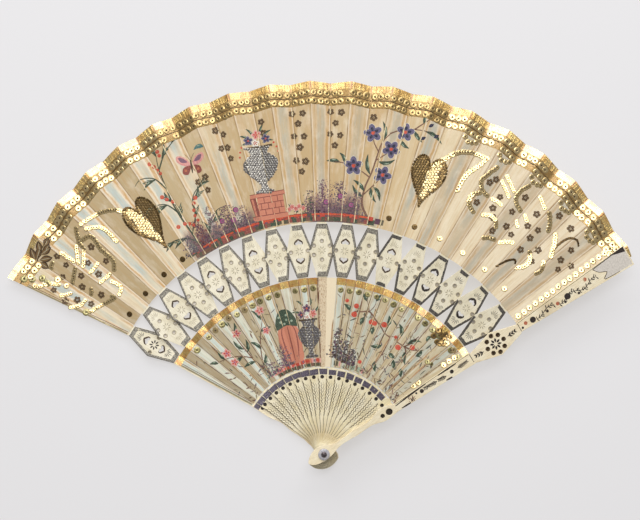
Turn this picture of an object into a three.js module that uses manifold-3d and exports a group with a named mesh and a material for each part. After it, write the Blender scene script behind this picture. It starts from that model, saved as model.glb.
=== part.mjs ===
// A cabriolet fan, open and lying on its back, in millimetres.
// The rivet's axis is Z, +Z runs from the back to the painted front, and +Y is the middle of the spread.
// Each stick has its own frame: x runs out along the stick, y is anticlockwise across it, z is up.
import * as THREE from 'three';
import { mergeVertices } from 'three/addons/utils/BufferGeometryUtils.js';
import Module from 'manifold-3d';

const wasm = await Module();
wasm.setup();

// The stack
const INNER_STICKS = 17;
const SPREAD_DEG = 115.8;
const MIDDLE_DEG = 90.5;
const STICK_THICK = 0.7;
const RIB_THICK = 0.3;
const GUARD_THICK = 1.5;
const LEAF_THICK = 0.2;
const RUNNING_GAP = 0.2;
const GLUE_GAP = 0.03;

// Every stick leans like a louvre: its anticlockwise edge is raised by this much for each mm across
const LEAN = 0.16;
const LEAN_START = 12;
const LEAN_FULL = 30;

// Distances from the rivet
const HEAD_REACH = 10.1;
const GORGE_END = 48.2;
const HEX_MIDDLE = 115.3;
const HEX_REACH = 15.1;
const STICK_LENGTH = 203;
const GUARD_LENGTH = 206;
const LEAF_RADIUS = 207.2;
const LEAF_CROWN = 4.6;
const FOLD_RISE = 1.2;
const STEP_CLEARANCE = 0.3;
const UPPER_LEAF_CLEARANCE = 1.1;

// Half widths across an inner stick
const NECK_HALF = 1.45;
const GORGE_HALF = 2.9;
const GORGE_SWAY = 0.5;
const LOWER_RIB_HALF = [1.1, 2.45];
const HEX_HALF = 7.4;
const HEX_END_HALF = 3.1;
const UPPER_RIB_HALF = [2.5, 2];

// The petal-shaped head, as [share of the head's reach, clockwise edge, anticlockwise edge]
const HEAD = [
  [-1, -0.2, 0.6], [-0.84, -1.9, 2.3], [-0.6, -2.9, 3.9], [-0.34, -3.3, 4.8], [-0.1, -3.4, 5],
  [0.27, -3.1, 4.3], [0.5, -2.5, 3.1], [0.74, -1.7, 2.2], [0.94, -1.2, 1.9],
];

// The guards' necks and gorges, as [distance from the rivet, clockwise edge, anticlockwise edge]
const FRONT_GUARD_GORGE = [
  [12.5, -0.9, 1.8], [17, -1, 2.1], [22, -1.3, 2.4], [27.5, -1, 2.2], [32, -1.1, 1.9],
  [35.5, -2, 3.3], [39, -3, 4.4], [43.7, -2.9, 4.3],
];
const BACK_GUARD_GORGE = [
  [12.5, -1.6, 1.2], [17, -1.8, 1], [22, -2, 0.8], [28, -2.8, -0.1], [32, -3.6, 0.2],
  [36, -4.2, 0.9], [44, -4.2, 0.8],
];

// The guards' arms, as [inner end, outer end] on each side
const LOWER_ARM_CLOCKWISE = [-2.4, -3.2];
const UPPER_ARM_CLOCKWISE = [-2.2, -4.6];
const FRONT_LOWER_ANTICLOCKWISE = [2.6, 4];
const FRONT_UPPER_ANTICLOCKWISE = [3.6, 8.2];
const BACK_LOWER_ANTICLOCKWISE = [0.8, 3.4];
const BACK_UPPER_ANTICLOCKWISE = [3.2, 10.8];

// The leaves' left edges on the back guard
const LOWER_PANEL_ANTICLOCKWISE = [0.2, 2.6];
const UPPER_PANEL_ANTICLOCKWISE = [3, 11];

// Holes
const RIVET_RADIUS = 0.9;
const RIVET_PLAY = 0.12;
const ROUND_SIDES = 20;
const PIERCE_RADIUS = 1.1;
const PIERCE_SIDES = 8;
const PIERCE_RING = 5.3;
const STICK_RING_COUNT = 6;
const GUARD_RING_COUNT = 8;
const HEART_LENGTH = 3.4;
const HEART_MIDDLE = 5.5;
const SIDE_HOLE = 4.9;
const GORGE_HOLE = [42.9, 0.5, 0.95];
const GUARD_HOLES = [[39.5, 0.2, 1.25], [43.9, 0.2, 2]];

// Rivet and washers
const RIVET_HEAD_RADIUS = 1.6;
const BACK_HEAD_THICK = 0.4;
const FRONT_HEAD_RISE = 0.5;
const WASHER_RADIUS = 3.25;
const BACK_WASHER_THICK = 0.6;
const FRONT_WASHER_THICK = 1.1;
const SEAT_GAP = 0.05;

// How square the bulge of the upper leaf is: 2 gives a parabola, more a flatter middle
const CROWN_POWER = 3;

// The gap between two leaf segments, which meet on a stick
const SEGMENT_GAP = 0.16;

// Angles and levels that follow from the sizes above
const LAST = INNER_STICKS + 1;
const HEX_START = HEX_MIDDLE - HEX_REACH;
const HEX_END = HEX_MIDDLE + HEX_REACH;
const LOWER_LEAF_END = HEX_START - STEP_CLEARANCE;
const UPPER_LEAF_START = HEX_END + UPPER_LEAF_CLEARANCE;
const STEP = THREE.MathUtils.degToRad(SPREAD_DEG / LAST);
const FIRST_ANGLE = THREE.MathUtils.degToRad(MIDDLE_DEG + SPREAD_DEG / 2);
const FOLD = STEP / 4;
const PITCH = STICK_THICK + RUNNING_GAP;
const BACK_WASHER_Z = BACK_HEAD_THICK + SEAT_GAP;
const BACK_GUARD_Z = BACK_WASHER_Z + BACK_WASHER_THICK + RUNNING_GAP;
const FIRST_STICK_Z = BACK_GUARD_Z + GUARD_THICK + RUNNING_GAP;
const LEAF_LEVEL = RIB_THICK + GLUE_GAP;
const BACK_ARM_THICK = FIRST_STICK_Z - PITCH + RIB_THICK - BACK_GUARD_Z;
const FRONT_ARM_RECESS = LEAF_LEVEL + LEAF_THICK + GLUE_GAP;
const FRONT_WASHER_Z = stickLevel(LAST) + GUARD_THICK + RUNNING_GAP;
const FRONT_HEAD_Z = FRONT_WASHER_Z + FRONT_WASHER_THICK + SEAT_GAP;

const BONE = { color: 0xe8deb2, roughness: 0.5, metalness: 0 };
const BLACKENED_BONE = { color: 0xcfc6a0, roughness: 0.55, metalness: 0 };
const LEAF = { color: 0xe4d6b8, roughness: 0.85, metalness: 0 };
const PALE_LEAF = { color: 0xd7dac8, roughness: 0.85, metalness: 0 };
const STEEL = { color: 0x4a4640, roughness: 0.4, metalness: 0.9 };
const PEARL = { color: 0xb9bcc0, roughness: 0.25, metalness: 0.1 };

const fan = new THREE.Group();

function stickAngle(index) {
  return FIRST_ANGLE - index * STEP;
}

// The underside of a stick at the rivet; index 0 stands for the leaf's seat on the back guard
function stickLevel(index) {
  return FIRST_STICK_Z + (index - 1) * PITCH;
}

function leanAt(x) {
  return LEAN * THREE.MathUtils.clamp((x - LEAN_START) / (LEAN_FULL - LEAN_START), 0, 1);
}

// The gorge blades sway in an S between the neck and the lower leaf
function swayAt(x) {
  const along = THREE.MathUtils.clamp((x - LEAN_START) / (GORGE_END - LEAN_START), 0, 1);
  return GORGE_SWAY * Math.sin(2 * Math.PI * along);
}

function addPiece(name, geometry, look) {
  const mesh = new THREE.Mesh(geometry, new THREE.MeshStandardMaterial(look));
  mesh.name = name;
  fan.add(mesh);
  return mesh;
}

function toSolid(geometry) {
  const bare = geometry.clone();
  bare.deleteAttribute('normal');
  bare.deleteAttribute('uv');
  const merged = mergeVertices(bare);
  return new wasm.Manifold(new wasm.Mesh({
    numProp: 3,
    vertProperties: new Float32Array(merged.attributes.position.array),
    triVerts: new Uint32Array(merged.index.array),
  }));
}

function toGeometry(solid) {
  const mesh = solid.getMesh();
  const geometry = new THREE.BufferGeometry();
  geometry.setAttribute('position', new THREE.BufferAttribute(mesh.vertProperties, 3));
  geometry.setIndex(new THREE.BufferAttribute(mesh.triVerts, 1));
  return geometry;
}

function roundHole(x, y, radius, sides) {
  const hole = new THREE.Path();
  hole.setFromPoints(Array.from({ length: sides }, (_, k) => {
    const turn = (k / sides) * 2 * Math.PI;
    return new THREE.Vector2(x + radius * Math.cos(turn), y + radius * Math.sin(turn));
  }));
  return hole;
}

function ringOfHoles(count) {
  return Array.from({ length: count }, (_, k) => {
    const turn = (k / count) * 2 * Math.PI;
    const x = HEX_MIDDLE + PIERCE_RING * Math.cos(turn);
    return roundHole(x, PIERCE_RING * Math.sin(turn), PIERCE_RADIUS, PIERCE_SIDES);
  });
}

// A heart whose point faces away from the hexagon's middle, drawn from its point in shares of its length
function heartHole(facing) {
  const corners = [[0, 0], [0.4, 0.4], [0.8, 0.7], [1, 0.55], [0.95, 0.25], [0.6, 0],
    [0.95, -0.25], [1, -0.55], [0.8, -0.7], [0.4, -0.4]];
  const point = HEX_MIDDLE + facing * (HEART_MIDDLE + HEART_LENGTH / 2);
  const hole = new THREE.Path();
  hole.setFromPoints(corners.map(([along, across]) =>
    new THREE.Vector2(point - facing * along * HEART_LENGTH, across * HEART_LENGTH)));
  return hole;
}

function heartsAndSideHoles() {
  const sideHole = (y) => roundHole(HEX_MIDDLE, y, PIERCE_RADIUS, PIERCE_SIDES);
  return [heartHole(1), heartHole(-1), sideHole(SIDE_HOLE), sideHole(-SIDE_HOLE)];
}

// Stations along a stick, as [distance from the rivet, clockwise edge, anticlockwise edge]
function head() {
  return HEAD.map(([share, clockwise, anticlockwise]) => [share * HEAD_REACH, clockwise, anticlockwise]);
}

function even(x, half) {
  return [x, swayAt(x) - half, swayAt(x) + half];
}

function innerGorge() {
  const rampMiddle = (LEAN_START + LEAN_FULL) / 2;
  return [
    even(LEAN_START, NECK_HALF * 1.08),
    even((LEAN_START + rampMiddle) / 2, NECK_HALF),
    even(rampMiddle, NECK_HALF * 1.03),
    even(LEAN_FULL, (NECK_HALF + GORGE_HALF) / 2),
    even((LEAN_FULL + GORGE_END) / 2, GORGE_HALF),
    even(GORGE_END - STEP_CLEARANCE, GORGE_HALF),
  ];
}

function hexagon() {
  return [
    even(HEX_START, HEX_END_HALF),
    even(HEX_MIDDLE, HEX_HALF),
    even(HEX_END, HEX_END_HALF),
  ];
}

function innerStations() {
  return [
    ...head(),
    ...innerGorge(),
    even(GORGE_END, LOWER_RIB_HALF[0]),
    even(LOWER_LEAF_END, LOWER_RIB_HALF[1]),
    ...hexagon(),
    even(UPPER_LEAF_START, UPPER_RIB_HALF[0]),
    even(STICK_LENGTH, UPPER_RIB_HALF[1]),
  ];
}

function guardStations(gorge, lowerSide, upperSide) {
  return [
    ...head(),
    ...gorge,
    [GORGE_END, LOWER_ARM_CLOCKWISE[0], lowerSide[0]],
    [LOWER_LEAF_END, LOWER_ARM_CLOCKWISE[1], lowerSide[1]],
    ...hexagon(),
    [UPPER_LEAF_START, UPPER_ARM_CLOCKWISE[0], upperSide[0]],
    [GUARD_LENGTH, UPPER_ARM_CLOCKWISE[1], upperSide[1]],
  ];
}

function outline(stations) {
  const clockwise = stations.map(([x, edge]) => new THREE.Vector2(x, edge));
  const anticlockwise = stations.map(([x, , edge]) => new THREE.Vector2(x, edge));
  return new THREE.Shape([...clockwise, ...anticlockwise.reverse()]);
}

// A box that takes the two arms down, or up, to make room for the leaves
function armCuts(from, to) {
  const spans = [[GORGE_END, LOWER_LEAF_END], [UPPER_LEAF_START - STEP_CLEARANCE, GUARD_LENGTH + HEX_HALF]];
  return spans.map(([start, end]) => {
    const box = new THREE.BoxGeometry(end - start, 4 * HEX_HALF, to - from);
    box.translate((start + end) / 2, 0, (from + to) / 2);
    return toSolid(box);
  });
}

function makeStick(name, index, stations, thick, recess, piercings, level, look) {
  const shape = outline(stations);
  shape.holes = [roundHole(0, 0, RIVET_RADIUS + RIVET_PLAY, ROUND_SIDES), ...piercings];
  let solid = toSolid(new THREE.ExtrudeGeometry(shape, { depth: thick, bevelEnabled: false }));
  for (const cut of armCuts(...recess)) {
    solid = solid.subtract(cut);
  }
  const geometry = toGeometry(solid);
  const position = geometry.attributes.position;
  for (let k = 0; k < position.count; k += 1) {
    position.setZ(k, position.getZ(k) + leanAt(position.getX(k)) * position.getY(k));
  }
  const stick = addPiece(name, geometry, look);
  stick.rotation.z = stickAngle(index);
  stick.position.z = level;
}

// A point of the leaf's upper face, held by the stick of that index
function leafPoint(index, x, y) {
  const z = stickLevel(index) + LEAF_LEVEL + LEAF_THICK + LEAN * y;
  return new THREE.Vector3(x, y, z).applyAxisAngle(new THREE.Vector3(0, 0, 1), stickAngle(index));
}

// One line across a leaf, from its inner to its outer edge, at an angle or at set distances to the side
function foldLine(index, turn, inner, outer) {
  return [inner, outer].map((radius) =>
    leafPoint(index, radius * Math.cos(turn), radius * Math.sin(turn)));
}

function sideLine(index, offsets, inner, outer) {
  return [leafPoint(index, inner, offsets[0]), leafPoint(index, outer, offsets[1])];
}

// A pleated strip through lines that run from left to right, with the leaf's thickness below them
function leafStrip(lines) {
  const corners = [];
  for (const [inner, outer] of lines) {
    const innerBelow = inner.clone().setZ(inner.z - LEAF_THICK);
    const outerBelow = outer.clone().setZ(outer.z - LEAF_THICK);
    corners.push(inner, outer, outerBelow, innerBelow);
  }
  const triangles = [];
  const quad = (a, b, c, d) => triangles.push(a, b, c, a, c, d);
  for (let k = 0; k < lines.length - 1; k += 1) {
    const left = 4 * k;
    const right = left + 4;
    quad(left, right, right + 1, left + 1);
    quad(left + 1, right + 1, right + 2, left + 2);
    quad(left + 2, right + 2, right + 3, left + 3);
    quad(left + 3, right + 3, right, left);
  }
  const end = 4 * (lines.length - 1);
  quad(0, 1, 2, 3);
  quad(end + 3, end + 2, end + 1, end);
  const geometry = new THREE.BufferGeometry().setFromPoints(corners);
  geometry.setIndex(triangles);
  return geometry;
}

// How far a leaf's outer edge bulges beyond its radius: nothing at the guards and the whole crown in the middle.
// The place is counted in sticks from the back guard.
function bulge(place, crown) {
  const fromMiddle = Math.abs((2 * place) / LAST - 1);
  return crown * (1 - fromMiddle ** CROWN_POWER);
}

// One segment of a leaf runs from the middle of one stick panel over the free panel to the middle of the next
function leafSegment(index, inner, outer, rise, crown, firstSide) {
  const next = index + 1;
  const fold = FOLD / STEP;
  const left = index === 0 ? firstSide : [-SEGMENT_GAP / 2, -SEGMENT_GAP / 2];
  return leafStrip([
    sideLine(index, left, inner, outer + bulge(index, crown)),
    foldLine(index, -FOLD, inner, outer + bulge(index + fold, crown) - rise),
    foldLine(next, FOLD, inner, outer + bulge(next - fold, crown) + rise),
    sideLine(next, [SEGMENT_GAP / 2, SEGMENT_GAP / 2], inner, outer + bulge(next, crown)),
  ]);
}

function twoDigits(number) {
  return String(number).padStart(2, '0');
}

// Guards and sticks
const backRecess = [BACK_ARM_THICK, GUARD_THICK + HEX_HALF];
const frontRecess = [-HEX_HALF, FRONT_ARM_RECESS];
const stickRecess = [RIB_THICK, STICK_THICK + HEX_HALF];
const backStations = guardStations(BACK_GUARD_GORGE, BACK_LOWER_ANTICLOCKWISE, BACK_UPPER_ANTICLOCKWISE);
const frontStations = guardStations(FRONT_GUARD_GORGE, FRONT_LOWER_ANTICLOCKWISE, FRONT_UPPER_ANTICLOCKWISE);
const gorgeHole = roundHole(...GORGE_HOLE, PIERCE_SIDES);
const guardDots = GUARD_HOLES.map(([x, y, radius]) => roundHole(x, y, radius, PIERCE_SIDES));

makeStick('back_guard', 0, backStations, GUARD_THICK, backRecess, heartsAndSideHoles(),
  BACK_GUARD_Z, BLACKENED_BONE);
for (let index = 1; index <= INNER_STICKS; index += 1) {
  const piercings = index % 2 === 1 ? ringOfHoles(STICK_RING_COUNT) : heartsAndSideHoles();
  makeStick(`stick_${twoDigits(index)}`, index, innerStations(), STICK_THICK, stickRecess,
    [gorgeHole, ...piercings], stickLevel(index), BONE);
}
makeStick('front_guard', LAST, frontStations, GUARD_THICK, frontRecess,
  [...guardDots, ...ringOfHoles(GUARD_RING_COUNT)], stickLevel(LAST), BONE);

// Leaves
for (let index = 0; index < LAST; index += 1) {
  const number = twoDigits(index + 1);
  const upper = leafSegment(index, UPPER_LEAF_START, LEAF_RADIUS, FOLD_RISE, LEAF_CROWN,
    UPPER_PANEL_ANTICLOCKWISE);
  addPiece(`upper_leaf_${number}`, upper, LEAF);
  const lower = leafSegment(index, GORGE_END + STEP_CLEARANCE, LOWER_LEAF_END - STEP_CLEARANCE, 0, 0,
    LOWER_PANEL_ANTICLOCKWISE);
  addPiece(`lower_leaf_${number}`, lower, PALE_LEAF);
}

// Rivet and washers, turned about the rivet's axis
function turned(profile) {
  const points = profile.map(([radius, z]) => new THREE.Vector2(radius, z));
  return new THREE.LatheGeometry(points, ROUND_SIDES).rotateX(Math.PI / 2);
}

function washerProfile(thick, crown) {
  const bore = RIVET_RADIUS + RIVET_PLAY;
  return [[bore, 0], [WASHER_RADIUS, 0], [WASHER_RADIUS, thick - crown],
    [WASHER_RADIUS * 0.75, thick - crown / 4], [bore, thick], [bore, 0]];
}

addPiece('rivet', turned([
  [0, 0],
  [RIVET_HEAD_RADIUS, 0],
  [RIVET_HEAD_RADIUS, BACK_HEAD_THICK],
  [RIVET_RADIUS, BACK_HEAD_THICK],
  [RIVET_RADIUS, FRONT_HEAD_Z],
  [RIVET_HEAD_RADIUS, FRONT_HEAD_Z],
  [RIVET_HEAD_RADIUS * 0.7, FRONT_HEAD_Z + FRONT_HEAD_RISE * 0.7],
  [0, FRONT_HEAD_Z + FRONT_HEAD_RISE],
]), STEEL);
addPiece('back_washer', turned(washerProfile(BACK_WASHER_THICK, 0)), PEARL).position.z = BACK_WASHER_Z;
addPiece('front_washer', turned(washerProfile(FRONT_WASHER_THICK, FRONT_WASHER_THICK / 2)), PEARL)
  .position.z = FRONT_WASHER_Z;

export default fan;
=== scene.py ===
# An open cabriolet fan on a pale floor: bone sticks, two painted and spangled leaves, rivet and washers.
# Shapes are built in millimetres in the CAD's own frame and become metres when a mesh is made.
import math
import random

import bmesh
import bpy
from mathutils import Matrix, Vector
from mathutils.geometry import tessellate_polygon


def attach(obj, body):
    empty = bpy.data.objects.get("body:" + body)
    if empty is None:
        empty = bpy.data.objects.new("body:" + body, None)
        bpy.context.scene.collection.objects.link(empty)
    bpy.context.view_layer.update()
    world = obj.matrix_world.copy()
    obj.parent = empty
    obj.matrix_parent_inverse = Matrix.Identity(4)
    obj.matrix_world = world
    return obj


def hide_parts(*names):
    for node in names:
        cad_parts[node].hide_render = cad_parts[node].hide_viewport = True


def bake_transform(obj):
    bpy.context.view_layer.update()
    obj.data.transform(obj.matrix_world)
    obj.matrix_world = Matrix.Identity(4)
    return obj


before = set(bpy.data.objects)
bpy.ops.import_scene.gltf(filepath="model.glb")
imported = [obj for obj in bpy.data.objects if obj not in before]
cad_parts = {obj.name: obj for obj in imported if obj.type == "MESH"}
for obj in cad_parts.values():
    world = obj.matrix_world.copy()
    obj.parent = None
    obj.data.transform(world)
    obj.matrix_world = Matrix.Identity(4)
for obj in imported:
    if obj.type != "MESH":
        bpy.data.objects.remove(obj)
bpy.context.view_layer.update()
MM = 0.001
TURN = 2 * math.pi

# Camera: place in mm, tilts in degrees, lens on a 36 mm sensor
CAMERA_PLACE = (-7.7, 105.2, 600)
CAMERA_TILT = (0.43, -0.54)
CAMERA_LENS = 57.8
SENSOR = 36

# The fan's stack and angles, as in the CAD
LAST = 18
SPREAD = 115.8
STEP = math.radians(SPREAD) / LAST
FIRST_ANGLE = math.radians(90.5 + SPREAD / 2)
PITCH = 0.9
STICK_THICK = 0.7
RIB_THICK = 0.3
GUARD_THICK = 1.5
BACK_GUARD_Z = 1.25
FIRST_STICK_Z = 2.95
LEAN, LEAN_START, LEAN_FULL = 0.16, 12, 30
LEAF_TOP = 0.53
LEAF_THICK = 0.2
BACK_ARM_THICK = 1.1
FRONT_ARM_RECESS = 0.56
BORE = 1.02

# Distances from the rivet
LOWER_ARM = (47.8, 100)
LOWER_LEAF = (48.5, 99.6)
HEX_MIDDLE = 115.3
HEX_REACH = 15.1
HEX_HALF, HEX_END_HALF = 7.4, 3.1
UPPER_ARM = 131
UPPER_LEAF = (131.5, 207.2)
STICK_LENGTH = 203
GUARD_LENGTH = 206

# The head, as [distance from the rivet, clockwise edge, anticlockwise edge], then the necks and gorges
HEAD = [
    (-10.1, -0.2, 0.6), (-8.5, -1.9, 2.3), (-6.1, -2.9, 3.9), (-3.4, -3.3, 4.8), (-1, -3.4, 5),
    (2.7, -3.1, 4.3), (5.05, -2.5, 3.1), (7.5, -1.7, 2.2), (9.5, -1.2, 1.9),
]
INNER_GORGE = [
    (12, -1.57, 1.57), (16.5, -1.1, 1.8), (21, -1, 1.98), (30, -2.15, 2.2), (35, -2.95, 2.2),
    (39.1, -3.35, 2.4), (43, -3.2, 2.55), (47.9, -2.9, 2.9),
]
FRONT_GORGE = [
    (12.5, -0.9, 1.8), (17, -1, 2.1), (22, -1.3, 2.4), (27.5, -1, 2.2), (32, -1.1, 1.9),
    (35.5, -2, 3.3), (39, -3, 4.4), (43.7, -2.9, 4.3), (47.9, -2.4, 2.7),
]
BACK_GORGE = [
    (12.5, -1.6, 1.2), (17, -1.8, 1), (22, -2, 0.8), (28, -2.8, -0.1), (32, -3.6, 0.2),
    (36, -4.2, 0.9), (44, -4.2, 0.8), (47.9, -2.5, 0.8),
]

# A leaf's folds lie at this share of a step on each side of a stick
FOLD = 0.25

# The upper leaf's edge steps at the folds and bulges in the middle of the fan
UPPER_RISE = 0.7
UPPER_CROWN = 4.6

# The leaves' borders, measured inwards from the leaf's edge
UPPER_GILT = 3.6
LOWER_GILT = 3.8
LOWER_GILT_SPANS = {8: (-1, 8.75), 9: (9.75, LAST)}
SPANGLE_ROWS = (5.7, 10.2)
THREAD_AT = 7.95

# How far apart the sticks lie in the bone texture
STICK_SHIFT = 3.7
FRONT_GUARD_SHIFT = 80


# Frames and heights

def stick_angle(index):
    return FIRST_ANGLE - index * STEP


def stick_level(index):
    return FIRST_STICK_Z + (index - 1) * PITCH


def body_of(index):
    if index == 0:
        return "root"
    return "front_guard" if index == LAST else f"stick_{index:02d}"


def lean_at(x):
    return LEAN * min(max((x - LEAN_START) / (LEAN_FULL - LEAN_START), 0), 1)


def on_stick(index, level):
    """Takes a point from a stick's own frame to the fan's frame"""
    turn = Matrix.Rotation(stick_angle(index), 3, "Z")
    return lambda p: turn @ Vector((p[0], p[1], p[2] + lean_at(p[0]) * p[1] + level))


def polar(across, radius):
    """The plan point at a place in sticks from the back guard, and at a distance from the rivet"""
    turn = FIRST_ANGLE - across * STEP
    return radius * math.cos(turn), radius * math.sin(turn)


def leaf_index(x, y):
    """Where a plan point lies across the leaf, in sticks from the back guard"""
    return (FIRST_ANGLE - math.atan2(y, x)) / STEP


def panel_height(index, radius, across):
    turn = (index - across) * STEP
    return stick_level(index) + LEAF_TOP + LEAN * radius * math.sin(turn)


def leaf_height(across, radius):
    """The leaf's upper face: stick panels lie on their sticks, and free panels run between their folds"""
    near = min(max(round(across), 0), LAST)
    if abs(across - near) <= FOLD or across < 0:
        return panel_height(near, radius, across)
    left = math.floor(across)
    share = (across - left - FOLD) * 2
    low = panel_height(left, radius, left + FOLD)
    high = panel_height(left + 1, radius, left + 1 - FOLD)
    return low + (high - low) * share


def height_at(x, y):
    return leaf_height(leaf_index(x, y), math.hypot(x, y))


def edge_at(across, back, leaf=UPPER_LEAF):
    """The radius of a place at a distance in from a leaf's edge"""
    if leaf is not UPPER_LEAF:
        return leaf[1] - back
    near = round(across)
    if across < FOLD:
        step = -max(across, -FOLD) / FOLD
    elif abs(across - near) <= FOLD:
        step = -(across - near) / FOLD
    else:
        step = (across - math.floor(across) - 0.5) / FOLD
    crown = 1 - min(1, abs(2 * across / LAST - 1)) ** 3
    fade = 1 - max(back, 0) / (leaf[1] - leaf[0])
    return leaf[1] - back + fade * (UPPER_RISE * step + UPPER_CROWN * crown)


def segment_at(across):
    return min(max(math.floor(across), 0), LAST - 1)


# Plan outlines

def between(a, b, part, whole=1):
    return a[0] + (b[0] - a[0]) * part / whole, a[1] + (b[1] - a[1]) * part / whole


def sides_of(loop):
    return list(zip(loop, loop[1:] + loop[:1]))


def box_of(loop):
    return (min(p[0] for p in loop), min(p[1] for p in loop),
            max(p[0] for p in loop), max(p[1] for p in loop))


def contains(loop, x, y):
    inside = False
    for (ax, ay), (bx, by) in sides_of(loop):
        if (ay > y) != (by > y) and x < (bx - ax) * (y - ay) / (by - ay) + ax:
            inside = not inside
    return inside


def placed(points, x, y, turn):
    """Turns points about the origin and moves them to x, y"""
    cos, sin = math.cos(turn), math.sin(turn)
    return [(x + a * cos - b * sin, y + a * sin + b * cos) for a, b in points]


def circle(x, y, radius, sides=20):
    return [(x + radius * math.cos(TURN * k / sides), y + radius * math.sin(TURN * k / sides))
            for k in range(sides)]


def lens(x, y, length, width, turn, sides=8):
    """A pointed petal or dash that starts at x, y"""
    edge = [(length * k / sides, width / 2 * math.sin(math.pi * k / sides)) for k in range(sides + 1)]
    return placed(edge + [(a, -b) for a, b in edge[-2:0:-1]], x, y, turn)


def heart(x, y, length, width, turn, sides=28):
    """A heart with its point at x, y that opens along turn"""
    points = []
    for k in range(sides):
        t = TURN * (k + 0.5) / sides
        up = (13 * math.cos(t) - 5 * math.cos(2 * t) - 2 * math.cos(3 * t) - math.cos(4 * t) + 17) / 28.9
        points.append((up * length, 0.5 * width * math.sin(t) ** 3))
    return placed(points, x, y, turn)


def smooth_path(points, steps=5, closed=False):
    """A Catmull-Rom curve through points"""
    result = []
    count = len(points)
    for k in range(count if closed else count - 1):
        p0 = points[(k - 1) % count] if closed or k > 0 else points[0]
        p1, p2 = points[k], points[(k + 1) % count]
        p3 = points[(k + 2) % count] if closed or k + 2 < count else points[-1]
        for step in range(steps):
            t = step / steps
            result.append(tuple(
                0.5 * (2 * b + (c - a) * t + (2 * a - 5 * b + 4 * c - d) * t * t
                       + (3 * b - a - 3 * c + d) * t ** 3)
                for a, b, c, d in zip(p0, p1, p2, p3)))
    if not closed:
        result.append(tuple(points[-1]))
    return result


def half_width(widths, share):
    """Half of a brush line's width at a share of its length"""
    place = share * (len(widths) - 1)
    low = min(int(place), len(widths) - 2)
    return (widths[low] + (widths[low + 1] - widths[low]) * (place - low)) / 2


def area(loop):
    return sum(a[0] * b[1] - b[0] * a[1] for a, b in sides_of(loop)) / 2


def wound(loop, anticlockwise):
    return list(loop) if (area(loop) > 0) == anticlockwise else list(loop)[::-1]


def inset(loop, distance):
    """Moves each corner to the left of the loop's direction"""
    moved = []
    for before, here, after in zip(loop[-1:] + loop[:-1], loop, loop[1:] + loop[:1]):
        a = (Vector(here[:2]) - Vector(before[:2])).normalized()
        b = (Vector(after[:2]) - Vector(here[:2])).normalized()
        side = Vector((-a.y - b.y, a.x + b.x))
        reach = distance * 2 / max(side.length_squared, 1.2)
        moved.append((here[0] + side.x * reach, here[1] + side.y * reach))
    return moved


def cap(loops):
    """Triangles that fill the first loop and leave the others open, all facing up"""
    flat = [Vector((x, y, 0)) for loop in loops for x, y in loop]
    triangles = []
    for a, b, c in tessellate_polygon([[Vector((x, y, 0)) for x, y in loop] for loop in loops]):
        up = (flat[b] - flat[a]).cross(flat[c] - flat[a]).z
        if abs(up) > 1e-9:
            triangles.append((a, b, c) if up > 0 else (a, c, b))
    return triangles


# Meshes

def add_object(name, data):
    thing = bpy.data.objects.new(name, data)
    bpy.context.scene.collection.objects.link(thing)
    return thing


class Shape:
    """Collects the faces of one piece, each with the name of its look"""

    def __init__(self):
        self.points, self.faces, self.looks, self.uvs = [], [], [], []

    def add(self, points, faces, look, uvs=None):
        first = len(self.points)
        self.points += [Vector(p) for p in points]
        self.uvs += uvs or [(p[0] / 100, p[1] / 100) for p in points]
        for face in faces:
            self.faces.append([first + k for k in face])
            self.looks.append(look)

    def move(self, function):
        self.points = [function(p) for p in self.points]

    def shift_uvs(self, amount):
        self.uvs = [(u + amount, v) for u, v in self.uvs]

    def finish(self, name, sharp=35):
        mesh = bpy.data.meshes.new(name)
        mesh.from_pydata([p * MM for p in self.points], [], self.faces)
        names = sorted(set(self.looks))
        for look in names:
            mesh.materials.append(LOOKS[look])
        places = {look: k for k, look in enumerate(names)}
        mesh.polygons.foreach_set("material_index", [places[look] for look in self.looks])
        layer = mesh.uv_layers.new(name="leaf")
        for loop in mesh.loops:
            layer.data[loop.index].uv = self.uvs[loop.vertex_index]
        mesh.polygons.foreach_set("use_smooth", [True] * len(mesh.polygons))
        mesh.set_sharp_from_angle(angle=math.radians(sharp))
        mesh.update()
        return add_object(name, mesh)


def plate(shape, outer, holes, low, high, look, bevel=0.08):
    """A flat plate with chamfered edges, from low to high, and holes through it"""
    loops = [wound(outer, True)] + [wound(hole, False) for hole in holes]
    inner = [inset(loop, bevel) for loop in loops]
    size = sum(len(loop) for loop in loops)
    levels = [(inner, low), (loops, low + bevel), (loops, high - bevel), (inner, high)]
    points = [(x, y, z) for rings, z in levels for loop in rings for x, y in loop]
    triangles = cap(inner)
    faces = [(c, b, a) for a, b, c in triangles]
    faces += [tuple(3 * size + k for k in face) for face in triangles]
    start = 0
    for loop in loops:
        count = len(loop)
        for k in range(count):
            a, b = start + k, start + (k + 1) % count
            faces += [(level * size + a, level * size + b, (level + 1) * size + b, (level + 1) * size + a)
                      for level in range(3)]
        start += count
    shape.add(points, faces, look)


def sheet(shape, outline, level, look):
    """A single-sided patch of paint or foil"""
    loop = wound(outline, True)
    shape.add([(x, y, level) for x, y in loop], cap([loop]), look)


# Materials

LOOKS = {}
COAT_IOR = 2.1
COAT_ROUGHNESS = 0.25
WORN_FOLD = (226, 208, 164)
WORN_PAPER = (222, 206, 172)


def linear(shade):
    """A screen colour from 0 to 255 as linear light"""
    return tuple((c / 255 / 12.92 if c <= 10 else ((c / 255 + 0.055) / 1.055) ** 2.4)
                 for c in shade) + (1,)


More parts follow.
